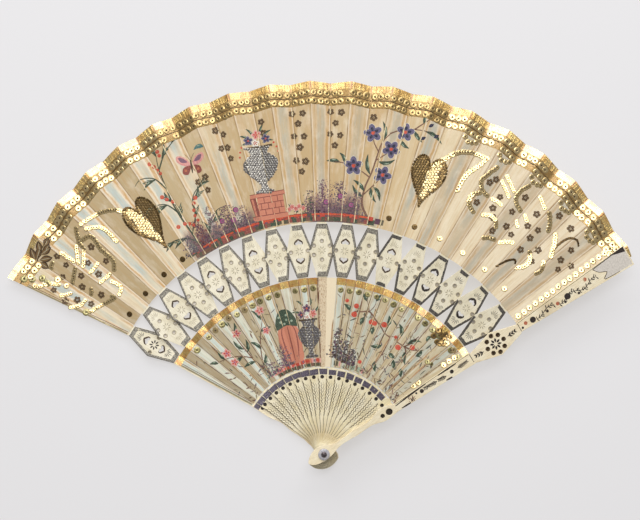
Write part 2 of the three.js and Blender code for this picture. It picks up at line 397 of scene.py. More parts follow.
class Look:
    """A node material under construction. Each cover lies over the base colour so far"""

    def __init__(self, name, roughness=0.6, metallic=0.0, base=None):
        self.material = bpy.data.materials.new(name)
        self.material.use_nodes = True
        self.tree = self.material.node_tree
        self.shader = next(n for n in self.tree.nodes if n.type == "BSDF_PRINCIPLED")
        self.set("Roughness", roughness)
        self.set("Metallic", metallic)
        self.uv = self.node("ShaderNodeUVMap").outputs["UV"]
        self.base = base
        LOOKS[name] = self.material

    def node(self, kind, **inputs):
        node = self.tree.nodes.new(kind)
        for name, value in inputs.items():
            self.put(node.inputs[name.replace("_", " ")], value)
        return node

    def put(self, socket, value):
        """Links another node's output, or sets a number or a screen colour"""
        if isinstance(value, bpy.types.NodeSocket):
            self.tree.links.new(value, socket)
        else:
            socket.default_value = linear(value) if isinstance(value, tuple) else value

    def set(self, name, value):
        self.put(self.shader.inputs[name], value)

    def maths(self, operation, *values):
        node = self.tree.nodes.new("ShaderNodeMath")
        node.operation = operation
        for socket, value in zip(node.inputs, values):
            self.put(socket, value)
        return node.outputs[0]

    def part(self, axis):
        """U or V of the place that is shaded"""
        return self.node("ShaderNodeSeparateXYZ", Vector=self.uv).outputs[axis]

    def noise(self, across, along, offset=0.0, detail=3, roughness=0.55):
        """Grey noise with patterns per UV unit across and along"""
        node = self.node("ShaderNodeMapping", Vector=self.uv)
        node.inputs["Scale"].default_value = (across, along, 1)
        node.inputs["Location"].default_value = (offset, offset * 1.7, 0)
        noise = self.node("ShaderNodeTexNoise", Vector=node.outputs[0], Scale=1, Detail=detail,
                          Roughness=roughness)
        return noise.outputs["Fac"]

    def ramp(self, value, *stops):
        """Colours or grey levels at places from 0 to 1"""
        node = self.tree.nodes.new("ShaderNodeValToRGB")
        self.put(node.inputs[0], value)
        elements = node.color_ramp.elements
        while len(elements) < len(stops):
            elements.new(0.5)
        for element, (place, shade) in zip(elements, stops):
            element.position = place
            element.color = linear(shade) if isinstance(shade, tuple) else (shade, shade, shade, 1)
        return node.outputs[0]

    def mix(self, share, first, second):
        node = self.tree.nodes.new("ShaderNodeMix")
        node.data_type = "RGBA"
        for number, value in ((0, share), (6, first), (7, second)):
            self.put(node.inputs[number], value)
        return node.outputs[2]

    def cover(self, paint, value, *stops):
        """Lays a colour over the base by a share, or by a share at each of the value's stops"""
        self.base = self.mix(self.ramp(value, *stops) if stops else value, self.base, paint)
        self.set("Base Color", self.base)

    def rough(self, value, *stops):
        self.set("Roughness", self.ramp(value, *stops))

    def coat(self, weight):
        """A clear gloss over the metal, which turns bright reflections pale"""
        self.set("Coat Weight", weight)
        self.set("Coat IOR", COAT_IOR)
        self.set("Coat Roughness", COAT_ROUGHNESS)

    def bump(self, height, strength, distance):
        node = self.node("ShaderNodeBump", Height=height, Strength=strength, Distance=distance * MM)
        self.set("Normal", node.outputs[0])

    def fold(self):
        """How far a place is from the nearest fold, in sticks: negative on stick panels"""
        across = self.part(0)
        off = self.maths("ABSOLUTE", self.maths("SUBTRACT", across, self.maths("ROUND", across)))
        return self.maths("SUBTRACT", off, FOLD)


def make_bone(name, pale, deep, dirt):
    """Bone: fine grain along the stick, short dark pores, yellowed patches and grime on the necks"""
    look = Look(name, 0.45, 0.0, pale)
    grain = look.noise(22, 260, 0, 5, 0.6)
    pores = look.noise(90, 520, 7, 2)
    look.cover(deep, look.noise(9, 14, 3), (0.38, 0.0), (0.66, 1.0))
    look.cover(dirt, grain, (0.45, 0.0), (0.72, 0.5))
    look.cover(dirt, pores, (0.66, 0.0), (0.74, 0.75))
    along = look.maths("MODULO", look.maths("ADD", look.part(0), 0.2), STICK_SHIFT)
    look.cover(dirt, along, (0.24, 0.0), (0.29, 0.45), (0.35, 0.25), (0.4, 0.0))
    look.rough(grain, (0.3, 0.38), (0.7, 0.58))
    look.bump(look.maths("ADD", grain, look.maths("MULTIPLY", pores, -0.6)), 0.35, 0.06)


def make_foil(name, bright, dark, worn, metallic, roughness, speckle, wear=0.62):
    """Foil that has tarnished in speckles and rubbed off in places"""
    look = Look(name, roughness, metallic, bright)
    speckles = look.noise(speckle, speckle, 0, 4, 0.7)
    gone = look.ramp(look.noise(speckle / 4, speckle / 4, 5), (wear, 0.0), (wear + 0.06, 1.0))
    look.cover(dark, speckles, (0.42, 0.0), (0.6, 1.0))
    look.cover(worn, gone)
    look.set("Metallic", look.maths("MULTIPLY", look.maths("SUBTRACT", 1.0, gone), metallic))
    look.rough(speckles, (0.3, roughness - 0.1), (0.7, roughness + 0.2))
    look.bump(speckles, 0.5, 0.05)


def make_gilt(name, bright, deep, copper, gloss=0.8):
    """Gilt paper: creased across the strip, with blots and coppery rubbed lines along its folds"""
    look = Look(name, 0.3, 0.9, bright)
    creases = look.noise(15, 3, 0, 4, 0.65)
    blots = look.noise(3.4, 20, 5, 4, 0.6)
    fine = look.noise(150, 60, 2)
    look.cover(deep, blots, (0.4, 0.0), (0.62, 1.0))
    look.cover(copper, creases, (0.56, 0.0), (0.68, 0.75))
    look.cover(copper, look.maths("ABSOLUTE", look.fold()), (0.008, 0.9), (0.03, 0.0))
    look.cover(copper, fine, (0.62, 0.0), (0.74, 0.5))
    look.rough(blots, (0.3, 0.22), (0.7, 0.42))
    look.coat(gloss)
    look.bump(look.maths("ADD", creases, look.maths("MULTIPLY", fine, 0.2)), 0.7, 0.5)


def make_metal(name, light, dark, roughness, gloss=0.0):
    """Thin stamped metal with tarnish"""
    look = Look(name, roughness, 1.0, light)
    if gloss:
        look.coat(gloss)
    tarnish = look.noise(95, 95)
    look.cover(dark, tarnish, (0.4, 0.0), (0.7, 1.0))
    look.rough(tarnish, (0.3, roughness - 0.08), (0.7, roughness + 0.14))
    look.bump(tarnish, 0.15, 0.03)


def make_paint(name, main, other, folds):
    """Gouache: brushed light and dark, and where it folds rubbed through to the paper"""
    look = Look(name, 0.7, 0.0, main)
    across, along = (22, 90) if folds else (120, 80)
    brushed = look.noise(across, along, 0, 4, 0.6)
    look.cover(other, brushed, (0.36, 0.0), (0.64, 1.0))
    if folds:
        ragged = look.maths("MULTIPLY", look.maths("SUBTRACT", look.noise(9, 40, 4), 0.5), 0.06)
        fold = look.maths("ADD", look.maths("ABSOLUTE", look.fold()), ragged)
        look.cover(WORN_FOLD, fold, (0.01, 1.0), (0.018, 0.0))
        look.cover(WORN_PAPER, look.noise(30, 140, 8, 4, 0.7), (0.6, 0.0), (0.7, 0.7))
    look.bump(brushed, 0.3, 0.04)


def make_paper(name, pale, dark):
    """Plain aged paper with fibres and stains"""
    look = Look(name, 0.88, 0.0, pale)
    fibres = look.noise(200, 420)
    look.cover(dark, look.noise(6, 12, 0, 5, 0.65), (0.35, 0.0), (0.75, 1.0))
    look.cover(dark, fibres, (0.5, 0.0), (0.8, 0.3))
    look.bump(fibres, 0.3, 0.06)


def make_leaf(name, paper, painted, dirt, dirt_and_crease_shade_share, crease_dirt_and_shade_width, tan, free_panel_tan_and_shade_stops, washes, extra):
    """Painted leaf paper. U counts sticks across the fan and V is the radius in tenths of a metre"""
    ground, shade, light = paper
    stripe, line = painted
    look = Look(name, 0.82)
    across = look.part(0)
    spread = look.maths("DIVIDE", across, LAST)
    wobble = look.maths("MULTIPLY", look.maths("SUBTRACT", look.noise(3, 7, 0, 6, 0.72), 0.5), 0.2)
    side = look.maths("SUBTRACT", look.maths("ADD", across, wobble), look.maths("ROUND", across))
    place = look.maths("ADD", side, 0.5)
    # Near each fold both ramps paint shade on the free panel's side and light on the stick panel's side:
    # painted shade and highlight of the crease
    look.base = look.ramp(place, (0.0, ground), (0.16, ground), (0.235, shade), (0.27, light), (0.42, ground),
                          (0.58, ground), (0.73, light), (0.765, shade), (0.84, ground), (1.0, ground))
    striped = look.ramp(place, (0.0, ground), (0.19, ground), (0.24, shade), (0.27, light), (0.33, line),
                        (0.37, light), (0.42, stripe), (0.57, stripe), (0.62, light), (0.66, line),
                        (0.69, line), (0.735, light), (0.76, shade), (0.82, ground), (1.0, ground))
    look.cover(striped, look.noise(1.3, 2.4, 3, 4, 0.6), (0.38, 0.1), (0.54, 1.0))

    fold = look.fold()
    free = look.ramp(fold, (0.0, 0.0), (0.02, 1.0))
    blotches = look.ramp(look.noise(2.6, 5, 13, 5, 0.65), (0.3, 0.55), (0.6, 1.0))
    places = {"held": look.maths("SUBTRACT", 1.0, free), "blotches": blotches}
    # Tan over the free panels by place across the fan: dirt, and on the upper leaf painted shade of the free
    # panels at the left that face away from the light
    look.cover(tan, look.maths("MULTIPLY", free, look.ramp(spread, *free_panel_tan_and_shade_stops)))
    # Washes by place across the fan; on the upper leaf one over the stick panels at the right is painted
    # shade
    for wash, stops, where in washes:
        look.cover(wash, look.maths("MULTIPLY", look.ramp(spread, *stops), places[where]))

    streaks = look.noise(26, 2.2, 9, 4, 0.6)
    clouds = look.noise(4, 7, 2, 4, 0.6)
    fibres = look.noise(190, 420)
    look.cover(line, streaks, (0.46, 0.0), (0.74, 0.5))
    look.cover(light, clouds, (0.5, 0.0), (0.72, 0.55))
    look.cover(shade, clouds, (0.22, 0.5), (0.44, 0.0))
    look.cover(shade, look.noise(7, 4, 17, 5, 0.7), (0.54, 0.0), (0.7, dirt_and_crease_shade_share * 0.75))
    look.cover(dirt, look.noise(60, 130, 11, 2), (0.71, 0.0), (0.76, 0.7))
    # A dark line on the free panel's side of each fold is dirt and painted shade of the crease, and a pale
    # line on the stick panel's side is a painted highlight
    rubbed = look.ramp(look.noise(2.3, 9, 6), (0.35, 0.15), (0.6, 1.0))
    beside = look.maths("ABSOLUTE", look.maths("SUBTRACT", fold, 0.012))
    dark = look.ramp(beside, (crease_dirt_and_shade_width / 4, dirt_and_crease_shade_share), (crease_dirt_and_shade_width, 0.0))
    look.cover(dirt, look.maths("MULTIPLY", dark, rubbed))
    look.cover(light, look.maths("ABSOLUTE", look.maths("ADD", fold, 0.012)), (0.004, 0.6), (0.016, 0.0))
    look.cover(shade, fibres, (0.5, 0.0), (0.8, 0.25))
    extra(look)
    look.bump(look.maths("ADD", fibres, look.maths("MULTIPLY", streaks, 1.5)), 0.3, 0.08)


def add_bushes(look):
    """A soft painted haze of bushes that stands on the inner edge of the upper leaf"""
    height = look.maths("DIVIDE", look.maths("SUBTRACT", look.part(1), 1.36), 0.26)
    tops = look.noise(1.9, 0.0, 4, 2)
    fine = look.noise(34, 130, 12, 4, 0.75)
    dense = look.maths("SUBTRACT", look.maths("ADD", tops, look.maths("MULTIPLY", fine, 0.5)), height)
    sides = look.ramp(look.maths("DIVIDE", look.part(0), LAST), (0.205, 0.0), (0.225, 1.0), (0.355, 1.0),
                      (0.372, 0.0), (0.468, 0.0), (0.482, 1.0), (0.57, 1.0), (0.59, 0.0))
    hue = look.ramp(look.noise(7, 26, 6, 4, 0.7), (0.42, 0.0), (0.6, 1.0))
    leaves = look.mix(hue, (90, 56, 66), (88, 88, 74))
    leaves = look.mix(look.ramp(dense, (0.34, 0.85), (0.66, 0.0)), leaves, (176, 132, 120))
    leaves = look.mix(look.ramp(fine, (0.5, 0.0), (0.7, 0.6)), leaves, (206, 184, 156))
    look.cover(leaves, look.maths("MULTIPLY", look.ramp(dense, (0.3, 0.0), (0.5, 0.95)), sides))


def add_bare_panels(look):
    """Stick panel 9 of the lower leaf has lost its paint, and the free panel beside it is plain"""
    place = look.maths("DIVIDE", look.maths("SUBTRACT", look.part(0), 8.7), 1.2)
    scuffs = look.noise(24, 60, 15, 4, 0.75)
    worn = look.mix(look.ramp(scuffs, (0.5, 0.0), (0.6, 0.9)), (222, 204, 172), (166, 124, 84))
    plain = look.mix(look.ramp(scuffs, (0.4, 0.0), (0.8, 0.4)), (240, 224, 192), (220, 196, 158))
    panel = look.mix(look.ramp(place, (0.445, 0.0), (0.455, 1.0)), worn, plain)
    look.cover(panel, place, (0.035, 0.0), (0.045, 1.0), (0.868, 1.0), (0.878, 0.0))
    tear = look.ramp(look.noise(2, 34, 1), (0.36, 0.35), (0.5, 1.0))
    edge = look.ramp(place, (0.02, 0.0), (0.04, 1.0), (0.075, 1.0), (0.11, 0.0))
    look.cover((96, 60, 38), look.maths("MULTIPLY", edge, tear))


make_bone("bone", (246, 237, 208), (236, 223, 182), (180, 154, 102))
make_bone("pale_bone", (244, 236, 212), (229, 219, 189), (181, 163, 125))
make_bone("guard_bone", (255, 244, 214), (249, 232, 194), (190, 160, 108))
make_foil("silver", (162, 156, 142), (78, 72, 62), (205, 194, 164), 0.2, 0.45, 130, 0.64)
make_foil("silver_rim", (104, 99, 92), (54, 48, 42), (124, 116, 104), 0.2, 0.5, 130)
make_foil("gorge_foil", (124, 116, 130), (58, 50, 60), (190, 178, 150), 0.35, 0.4, 190, 0.64)
make_gilt("gilt", (246, 214, 134), (220, 176, 96), (158, 104, 52))
# A darker, duller copy of the gilt for the middle of the upper border: less gloss, and painted shade
make_gilt("dull_gilt", (222, 190, 118), (190, 150, 82), (146, 96, 48), 0.35)
make_gilt("lower_gilt", (244, 208, 112), (214, 150, 62), (146, 82, 36))
make_metal("spangle", (238, 212, 148), (202, 166, 100), 0.27, 0.6)
# A darker, duller copy of the spangles for the middle of the upper border: less gloss, and painted shade
make_metal("dull_spangle", (196, 168, 108), (142, 114, 66), 0.33, 0.25)
make_metal("border_ground", (186, 152, 94), (124, 94, 52), 0.5, 0.15)
make_metal("green_spangle", (176, 166, 112), (110, 98, 60), 0.42, 0.2)
make_metal("bronze_spangle", (168, 138, 84), (106, 82, 48), 0.38, 0.1)
make_metal("steel_spangle", (168, 164, 154), (96, 90, 84), 0.34, 0.35)
make_metal("bullion", (120, 98, 62), (70, 52, 34), 0.4)
make_metal("rivet_steel", (122, 112, 114), (64, 56, 54), 0.4)
make_leaf("upper_leaf_paint", ((230, 213, 178), (202, 178, 136), (240, 227, 202)),
          ((190, 200, 192), (204, 160, 102)), (132, 94, 54), 0.7, 0.026,
          # The tan on the free panels, strongest at the left, is dirt and painted shade
          (196, 172, 128), ((0.2, 0.85), (0.36, 0.45), (0.6, 0.4), (0.72, 0.15)),
          (((228, 220, 202), ((0.66, 0.0), (0.8, 0.35)), "blotches"),
           ((186, 152, 100), ((0.24, 0.0), (0.38, 0.65), (0.58, 0.62), (0.7, 0.0)), "blotches"),
           # The stick panels at the right are darkened, painted shade of the panels that face away from the
           # light
           ((178, 152, 110), ((0.58, 0.0), (0.72, 0.42), (1.0, 0.45)), "held")), add_bushes)
make_leaf("lower_leaf_paint", ((220, 220, 198), (176, 156, 116), (230, 231, 214)),
          ((206, 218, 208), (184, 148, 100)), (104, 68, 40), 1.0, 0.055,
          (196, 172, 130), ((0.0, 0.8), (0.5, 0.75), (1.0, 0.6)),
          (((152, 134, 94), ((0.5, 0.0), (0.64, 0.3)), "blotches"),), add_bare_panels)
make_paper("leaf_back", (220, 206, 176), (188, 168, 130))

# Paints that are even, and paints of the leaf that are rubbed off along its folds
# The hole paint is painted shade in piercings; rubbed is the worn tip of the front guard and also pale
# painted light in the holes of the left sticks; black, stain, knot, faint and ink also paint shade at holes
# and edges of the sticks
EVEN_PAINTS = {
    "stain": ((58, 44, 30), (96, 76, 50)), "knot": ((86, 62, 34), (52, 38, 26)),
    "ink": ((30, 24, 22), (60, 48, 40)), "hole": ((196, 188, 174), (160, 152, 140)),
    "rust": ((128, 62, 42), (96, 48, 36)), "rubbed": ((228, 220, 208), (204, 196, 184)),
    "olive": ((150, 136, 84), (116, 102, 62)), "black": ((34, 28, 26), (62, 52, 44)),
    "faint": ((158, 146, 120), (190, 178, 146)), "bronze": ((136, 106, 62), (104, 78, 48)),
    "brick": ((212, 142, 112), (194, 118, 94)),
}
RUBBED_PAINTS = {
    "earthy_gilt": ((128, 106, 66), (88, 68, 42)), "olive_wash": ((158, 146, 110), (136, 122, 88)),
    "plum": ((92, 60, 76), (106, 72, 88)), "dusk": ((138, 108, 108), (126, 98, 104)),
    "coral": ((196, 118, 84), (170, 92, 66)), "coral_wash": ((182, 146, 106), (166, 128, 88)),
    "rosette": ((66, 48, 30), (92, 70, 44)), "petal": ((86, 80, 106), (112, 104, 132)),
    "navy": ((32, 34, 54), (52, 52, 76)), "leaf_green": ((44, 58, 46), (74, 92, 70)),
    "pale_green": ((132, 152, 128), (168, 180, 156)), "stem": ((104, 74, 58), (134, 98, 78)),
    "vine": ((56, 66, 52), (80, 88, 66)), "berry": ((190, 54, 42), (214, 100, 70)),
    "orange": ((216, 96, 52), (190, 56, 40)), "crimson": ((176, 52, 44), (206, 84, 60)),
    "earth": ((70, 80, 60), (104, 84, 64)), "mauve": ((132, 98, 114), (120, 88, 104)),
    "magenta": ((150, 62, 116), (176, 96, 140)), "slate": ((98, 94, 98), (84, 80, 86)),
    "mortar": ((128, 62, 56), (150, 84, 70)), "rose": ((206, 132, 128), (226, 168, 156)),
    "white": ((240, 238, 226), (222, 220, 208)), "teal": ((66, 106, 106), (92, 128, 122)),
}
for paints, folds in ((EVEN_PAINTS, False), (RUBBED_PAINTS, True)):
    for paint, (main, other) in paints.items():
        make_paint(paint, main, other, folds)

pearl = Look("pearl", 0.25)
sheen = pearl.noise(30, 30, 0, 4)
pearl.set("Base Color", pearl.ramp(sheen, (0.35, (196, 192, 194)), (0.5, (170, 168, 174)),
                                   (0.65, (208, 200, 194))))
pearl.set("Coat Weight", 0.5)
pearl.bump(sheen, 0.2, 0.1)

floor_look = Look("floor", 0.9)
floor_look.set("Base Color", floor_look.ramp(floor_look.noise(3, 3, 0, 2), (0.3, (141, 142, 146)),
                                             (0.7, (144, 145, 149))))
floor_look.set("Emission Color", (228, 225, 223))
floor_look.set("Emission Strength", 0.67)


# Sticks and guards

rng = random.Random(7)
TOOTH_SPAN = (21, 41.5)
TOOTH_PITCH = 2.1
TOOTH_DEPTH = 0.55
HEX_SIDE = [
    (-HEX_REACH - 0.3, 2.9), (-HEX_REACH, HEX_END_HALF), (0, HEX_HALF), (HEX_REACH, HEX_END_HALF),
    (HEX_REACH + 0.8, 2.7),
]
HEX_OUTLINE = [(HEX_MIDDLE + x, -y) for x, y in HEX_SIDE] + [(HEX_MIDDLE + x, y) for x, y in HEX_SIDE[::-1]]


def tooth(x):
    """Saw teeth along the gorge blades' edges"""
    if not TOOTH_SPAN[0] < x < TOOTH_SPAN[1]:
        return 0
    return TOOTH_DEPTH * abs(2 * (x / TOOTH_PITCH % 1) - 1)


def edges(stations, teeth=False):
    """The clockwise and anticlockwise edge of a head and gorge, from its tip outwards"""
    sides = []
    for column, sign in ((1, 1), (2, -1)):
        path = smooth_path([(s[0], s[column]) for s in stations], 12)
        if teeth:
            dense = []
            for a, b in zip(path, path[1:]):
                steps = max(1, round((b[0] - a[0]) / 0.28)) if 20 < a[0] < 42 else 1
                dense += [between(a, b, k, steps) for k in range(steps)]
            path = [(x, y + sign * tooth(x)) for x, y in dense + path[-1:]]
        sides.append(path)
    return sides


def quad(start, end, clockwise, anticlockwise):
    return [(start, clockwise[0]), (end, clockwise[1]), (end, anticlockwise[1]), (start, anticlockwise[0])]


def ring_holes(count, radius=1.1):
    return [circle(x, y, radius, 16) for x, y in circle(HEX_MIDDLE, 0, 5.3, count)]


def heart_holes():
    hearts = [heart(HEX_MIDDLE + side * 7.2, 0, 3.4, 4.6, math.pi if side > 0 else 0) for side in (1, -1)]
    return hearts + [circle(HEX_MIDDLE, side * 4.9, 1.1, 16) for side in (1, -1)]


def hex_band(shape, top, width=1.5, end=2.4, missing=(), foil="silver"):
    """The tarnished silver edging of a hexagon: dark rim, paler foil and a torn inner edge"""
    low, high = HEX_MIDDLE - HEX_REACH, HEX_MIDDLE + HEX_REACH
    slope = (HEX_HALF - HEX_END_HALF) / HEX_REACH

    def hexagon(gap_end, gap_side):
        drop = gap_side * math.hypot(1, slope)
        half = HEX_END_HALF + slope * gap_end - drop
        return [(low + gap_end, -half), (HEX_MIDDLE, drop - HEX_HALF), (high - gap_end, -half),
                (high - gap_end, half), (HEX_MIDDLE, HEX_HALF - drop), (low + gap_end, half)]

    rim = [hexagon(0, 0), hexagon(0.35, 0.35), hexagon(end, width)]
    for number, (outer, middle, inner) in enumerate(zip(*(sides_of(loop) for loop in rim))):
        if number in missing:
            continue
        steps = max(2, round(math.dist(*outer) / 0.8))
        count = steps + 1
        rows = []
        for (a, b), jitter in ((outer, 0.0), (middle, 0.04), (inner, 0.16)):
            spots = [between(a, b, k, steps) for k in range(count)]
            rows.append([(x + rng.uniform(-jitter, jitter), y + rng.uniform(-jitter, jitter))
                         for x, y in spots])
        heights = (0.02, 0.06, 0.05, 0.0)
        points = [(x, y, top + z) for row, z in zip(rows + rows[-1:], heights) for x, y in row]
        for ring, look in enumerate(("silver_rim", foil, foil)):
            first = ring * count
            shape.add(points, [(first + k, first + k + 1, first + count + k + 1, first + count + k)
                               for k in range(steps)], look)


def flower(shape, reach, width, top, look, petals=8):
    """A painted flower in the middle of a hexagon"""
    start = reach * 0.25
    for k in range(petals):
        turn = TURN * (k + 0.5) / petals
        petal = lens(HEX_MIDDLE + start * math.cos(turn), start * math.sin(turn), reach - start, width, turn)
        sheet(shape, petal, top, look)


def rays(shape, top, look, width=0.3):
    """Painted rays at both ends of a hexagon"""
    for facing in (1, -1):
        for k in range(-3, 4):
            turn = k * 0.36 + (math.pi if facing < 0 else 0)
            ray = lens(HEX_MIDDLE + facing * 7.6 + 0.9 * math.cos(turn), 0.9 * math.sin(turn),
                       3.4 * (1 - 0.1 * abs(k)), width, turn)
            sheet(shape, ray, top, look)


def line(shape, points, widths, top, look):
    """A painted line on a stick, as points and the widths along it"""
    path = smooth_path(points, 5)
    for k, (a, b) in enumerate(zip(path, path[1:])):
        along = Vector((b[0] - a[0], b[1] - a[1])).normalized()
        half = half_width(widths, k / (len(path) - 1))
        x, y = -along.y * half, along.x * half
        sheet(shape, [(a[0] + x, a[1] + y), (a[0] - x, a[1] - y), (b[0] - x, b[1] - y), (b[0] + x, b[1] + y)],
              top, look)


def pierced(shape, holes, look, level=STICK_THICK + 0.03, deep=False):
    """Painted shade in round piercings: a sheet low in each hole, pale painted light where the paint given is
    pale, and a dark ring on its rim; along one side of the other holes a rim that is stain and painted shade
    of the hole's wall
    """
    for hole in holes:
        if len(hole) < 20:
            sheet(shape, hole, 0.05, look)
            line(shape, hole + hole[:1], [0.28, 0.5, 0.28], level, "knot" if look == "stain" else "faint")
        else:
            rim = hole[len(hole) // 5:len(hole) * 4 // 5 + 1]
            widths = [0.5, 1.5, 1.1, 1.5, 0.5] if deep else [0.4, 1.0, 0.7, 1.0, 0.4]
            line(shape, rim, widths, level, "ink" if deep else "knot")


def sprig(shape, x, y, facing, length, top, reach=2.4, width=0.42):
    """A stem with pairs of small leaves, along the stick"""
    stem = [(x, y), (x + length * 0.5 * facing, y + 0.15), (x + length * facing, y + 0.5)]
    line(shape, stem, [0.4, 0.35, 0.2], top, "ink")
    pairs = max(2, round(length * 0.48 / width))
    for k in range(pairs):
        share = (k + 0.4) / pairs
        for side in (1, -1):
            turn = 0.6 * side if facing > 0 else math.pi - 0.6 * side
            size = reach * (1 - 0.35 * share)
            leaf = lens(x + length * share * facing, y + 0.5 * share ** 2, size, width, turn)
            sheet(shape, leaf, top, "ink")


def gorge_edge(shape, side):
    """A dark line that shows beyond the saw teeth: dirt, and painted shade under the blade's edge"""
    run = [(x, y) for x, y in side if 10.5 < x < 41.8]
    count = len(run)
    outer = [(x, y + (0.38 if x > 20.5 else 0.17), -0.05) for x, y in run]
    inner = [(x, y - 0.5, -0.05) for x, y in run]
    shape.add(outer + inner, [(count + k, count + k + 1, k + 1, k) for k in range(count - 1)], "stain")


def finish_stick(index, bone, trim, shift=0.0):
    body = body_of(index)
    node = body if index else "back_guard"
    place = on_stick(index, stick_level(index) if index else BACK_GUARD_Z)
    for shape, suffix in ((bone, "bone"), (trim, "trim")):
        shape.shift_uvs(shift)
        shape.move(place)
        piece = shape.finish(f"{node}_{suffix}")
        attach(piece, body)
        if suffix == "bone":
            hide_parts(node)


def build_stick(index):
    """An inner stick. The silver edging of those at the right is darker, thinner and more worn"""
    bone, trim = Shape(), Shape()
    clockwise, anticlockwise = edges(HEAD + INNER_GORGE, True)
    bores = [circle(0, 0, BORE, 24), circle(42.7, 0.5, 1.1, 14)]
    plate(bone, clockwise + anticlockwise[::-1], bores, 0, STICK_THICK, "bone")
    plate(bone, quad(*LOWER_ARM, (-1.1, -2.45), (1.1, 2.45)), [], 0, RIB_THICK, "bone", 0.05)
    holes = ring_holes(6) if index % 2 else heart_holes()
    plate(bone, HEX_OUTLINE, holes, 0, STICK_THICK, "pale_bone", 0.07)
    plate(bone, quad(UPPER_ARM, STICK_LENGTH, (-2.5, -2), (2.5, 2)), [], 0, RIB_THICK, "bone", 0.05)

    chance, widest, end, foil = (0.1, 1.45, 2.8, "silver") if index < 12 else (0.2, 1.4, 2.0, "silver_rim")
    missing = [side for side in (0, 1, 3, 4) if rng.random() < chance]
    hex_band(trim, STICK_THICK, rng.uniform(1.05, widest), end, missing, foil)
    top = STICK_THICK + 0.02
    # The sheets in the round holes are painted shade, pale on the left sticks as painted light seen through
    # them; the heavier heart rims on the right sticks are painted shade
    pierced(trim, holes, "rubbed" if index < 10 else "hole", deep=index > 12)
    flower(trim, 2.5, 0.5, top, "faint")
    rays(trim, top, "faint" if index < 15 else "ink")
    gorge_edge(trim, anticlockwise)
    # A thin dark line inside the head's clockwise edge, painted shade between the fanned heads
    line(trim, [(x, y + 0.3) for x, y in clockwise if x < 3][2::5], [0.16, 0.22, 0.16], top, "knot")
    # A black disc low in the gorge hole, painted shade
    sheet(trim, circle(42.7, 0.5, 1.15, 14), 0.02, "black")
    reach = 0.55 if index < 9 else 0.0
    scrap = [(x + rng.uniform(-0.25, 0.25), y + rng.uniform(-0.2, 0.15))
             for x, y in ((43.95, -2.85), (47.2, -2.7), (47.2, 2.1 + reach), (43.95, 1.9 + reach))]
    if index < LAST - 1:
        sheet(trim, scrap, top, "gorge_foil")
    for start, end, share, look in ((24, 40.5, 0.52, "stain"), (30, 40, 0.0, "faint")):
        wave = [(start + 0.525 * k, share * (1.98 + 0.022 * (start - 21 + 0.525 * k)) - 0.25
                 + 0.34 * math.sin(math.pi * k / 2)) for k in range(round((end - start) / 0.525))]
        line(trim, wave, [0.16, 0.3, 0.34, 0.2], top, look)
    finish_stick(index, bone, trim, index * STICK_SHIFT)


def build_back_guard():
    bone, trim = Shape(), Shape()
    clockwise, anticlockwise = edges(HEAD + BACK_GORGE)
    head = clockwise + anticlockwise[::-1]
    plate(bone, head, [circle(0, 0, BORE, 24)], 0, GUARD_THICK, "guard_bone", 0.12)
    plate(bone, quad(*LOWER_ARM, (-2.4, -3.2), (0.8, 3.4)), [], 0, BACK_ARM_THICK, "guard_bone", 0.1)
    plate(bone, HEX_OUTLINE, heart_holes(), 0, GUARD_THICK, "pale_bone", 0.12)
    upper_arm = quad(UPPER_ARM, GUARD_LENGTH, (-2.2, -4.6), (3.2, 10.8))
    plate(bone, upper_arm, [], 0, BACK_ARM_THICK, "guard_bone", 0.1)
    top = GUARD_THICK + 0.02
    sheet(trim, [(43.9, -2.8), (47.3, -2.4), (47.4, 0.5), (44, 0.5)], top, "gorge_foil")
    sheet(trim, circle(42.6, -1.6, 1.05, 14), top, "black")
    hex_band(trim, GUARD_THICK)
    # The sheets in the round holes are painted shade, and the heart rims are stain and painted shade
    pierced(trim, heart_holes(), "hole", top)
    flower(trim, 3, 0.85, top, "black")
    rays(trim, top, "black", 0.34)
    finish_stick(0, bone, trim)


FRONT_SLOTS = [
    [(48.6, 1.1), (59, 2), (69.7, 2.6)], [(78, 2.7), (84, 2.9), (90.2, 3)],
    [(51, -1.9), (57, -2)], [(80.6, -2.3), (84.6, -2.5)],
]
FRONT_DOTS = {
    "ink": [(85.9, 0.3, 1.15), (65.7, 0.2, 1.2), (62.4, 0.9, 0.6), (133.2, -0.6, 0.7), (140.4, 0.2, 1.75),
            (164.1, 0.8, 1.85), (150, -0.2, 0.8), (170.6, -1.2, 0.8), (161.4, -1.3, 0.75)],
    "coral": [(135.9, 0.8, 1.1), (157.2, 0.3, 1.1), (177.3, 3.6, 1.15)],
}
WORN_TIP = [
    (184, 5.9), (192, 6.6), (199.5, 7.2), (205.2, 7.6), (205.3, 1.5), (205.4, -3.6), (197, -3.4),
    (187.4, -2.6), (190.4, 0.4), (186.4, 2.6),
]
DARK_TIP = [(196.5, 7.5), (201, 7.6), (205.2, 7.7), (205.3, 4.6), (202.5, 5.4), (199, 6.4)]


def front_arm_edge(x):
    """The anticlockwise edge of the front guard's lower or upper arm"""
    if x < LOWER_ARM[1]:
        return 2.6 + 1.4 * (x - LOWER_ARM[0]) / (LOWER_ARM[1] - LOWER_ARM[0])
    return 3.6 + 4.6 * (x - UPPER_ARM) / (GUARD_LENGTH - UPPER_ARM)


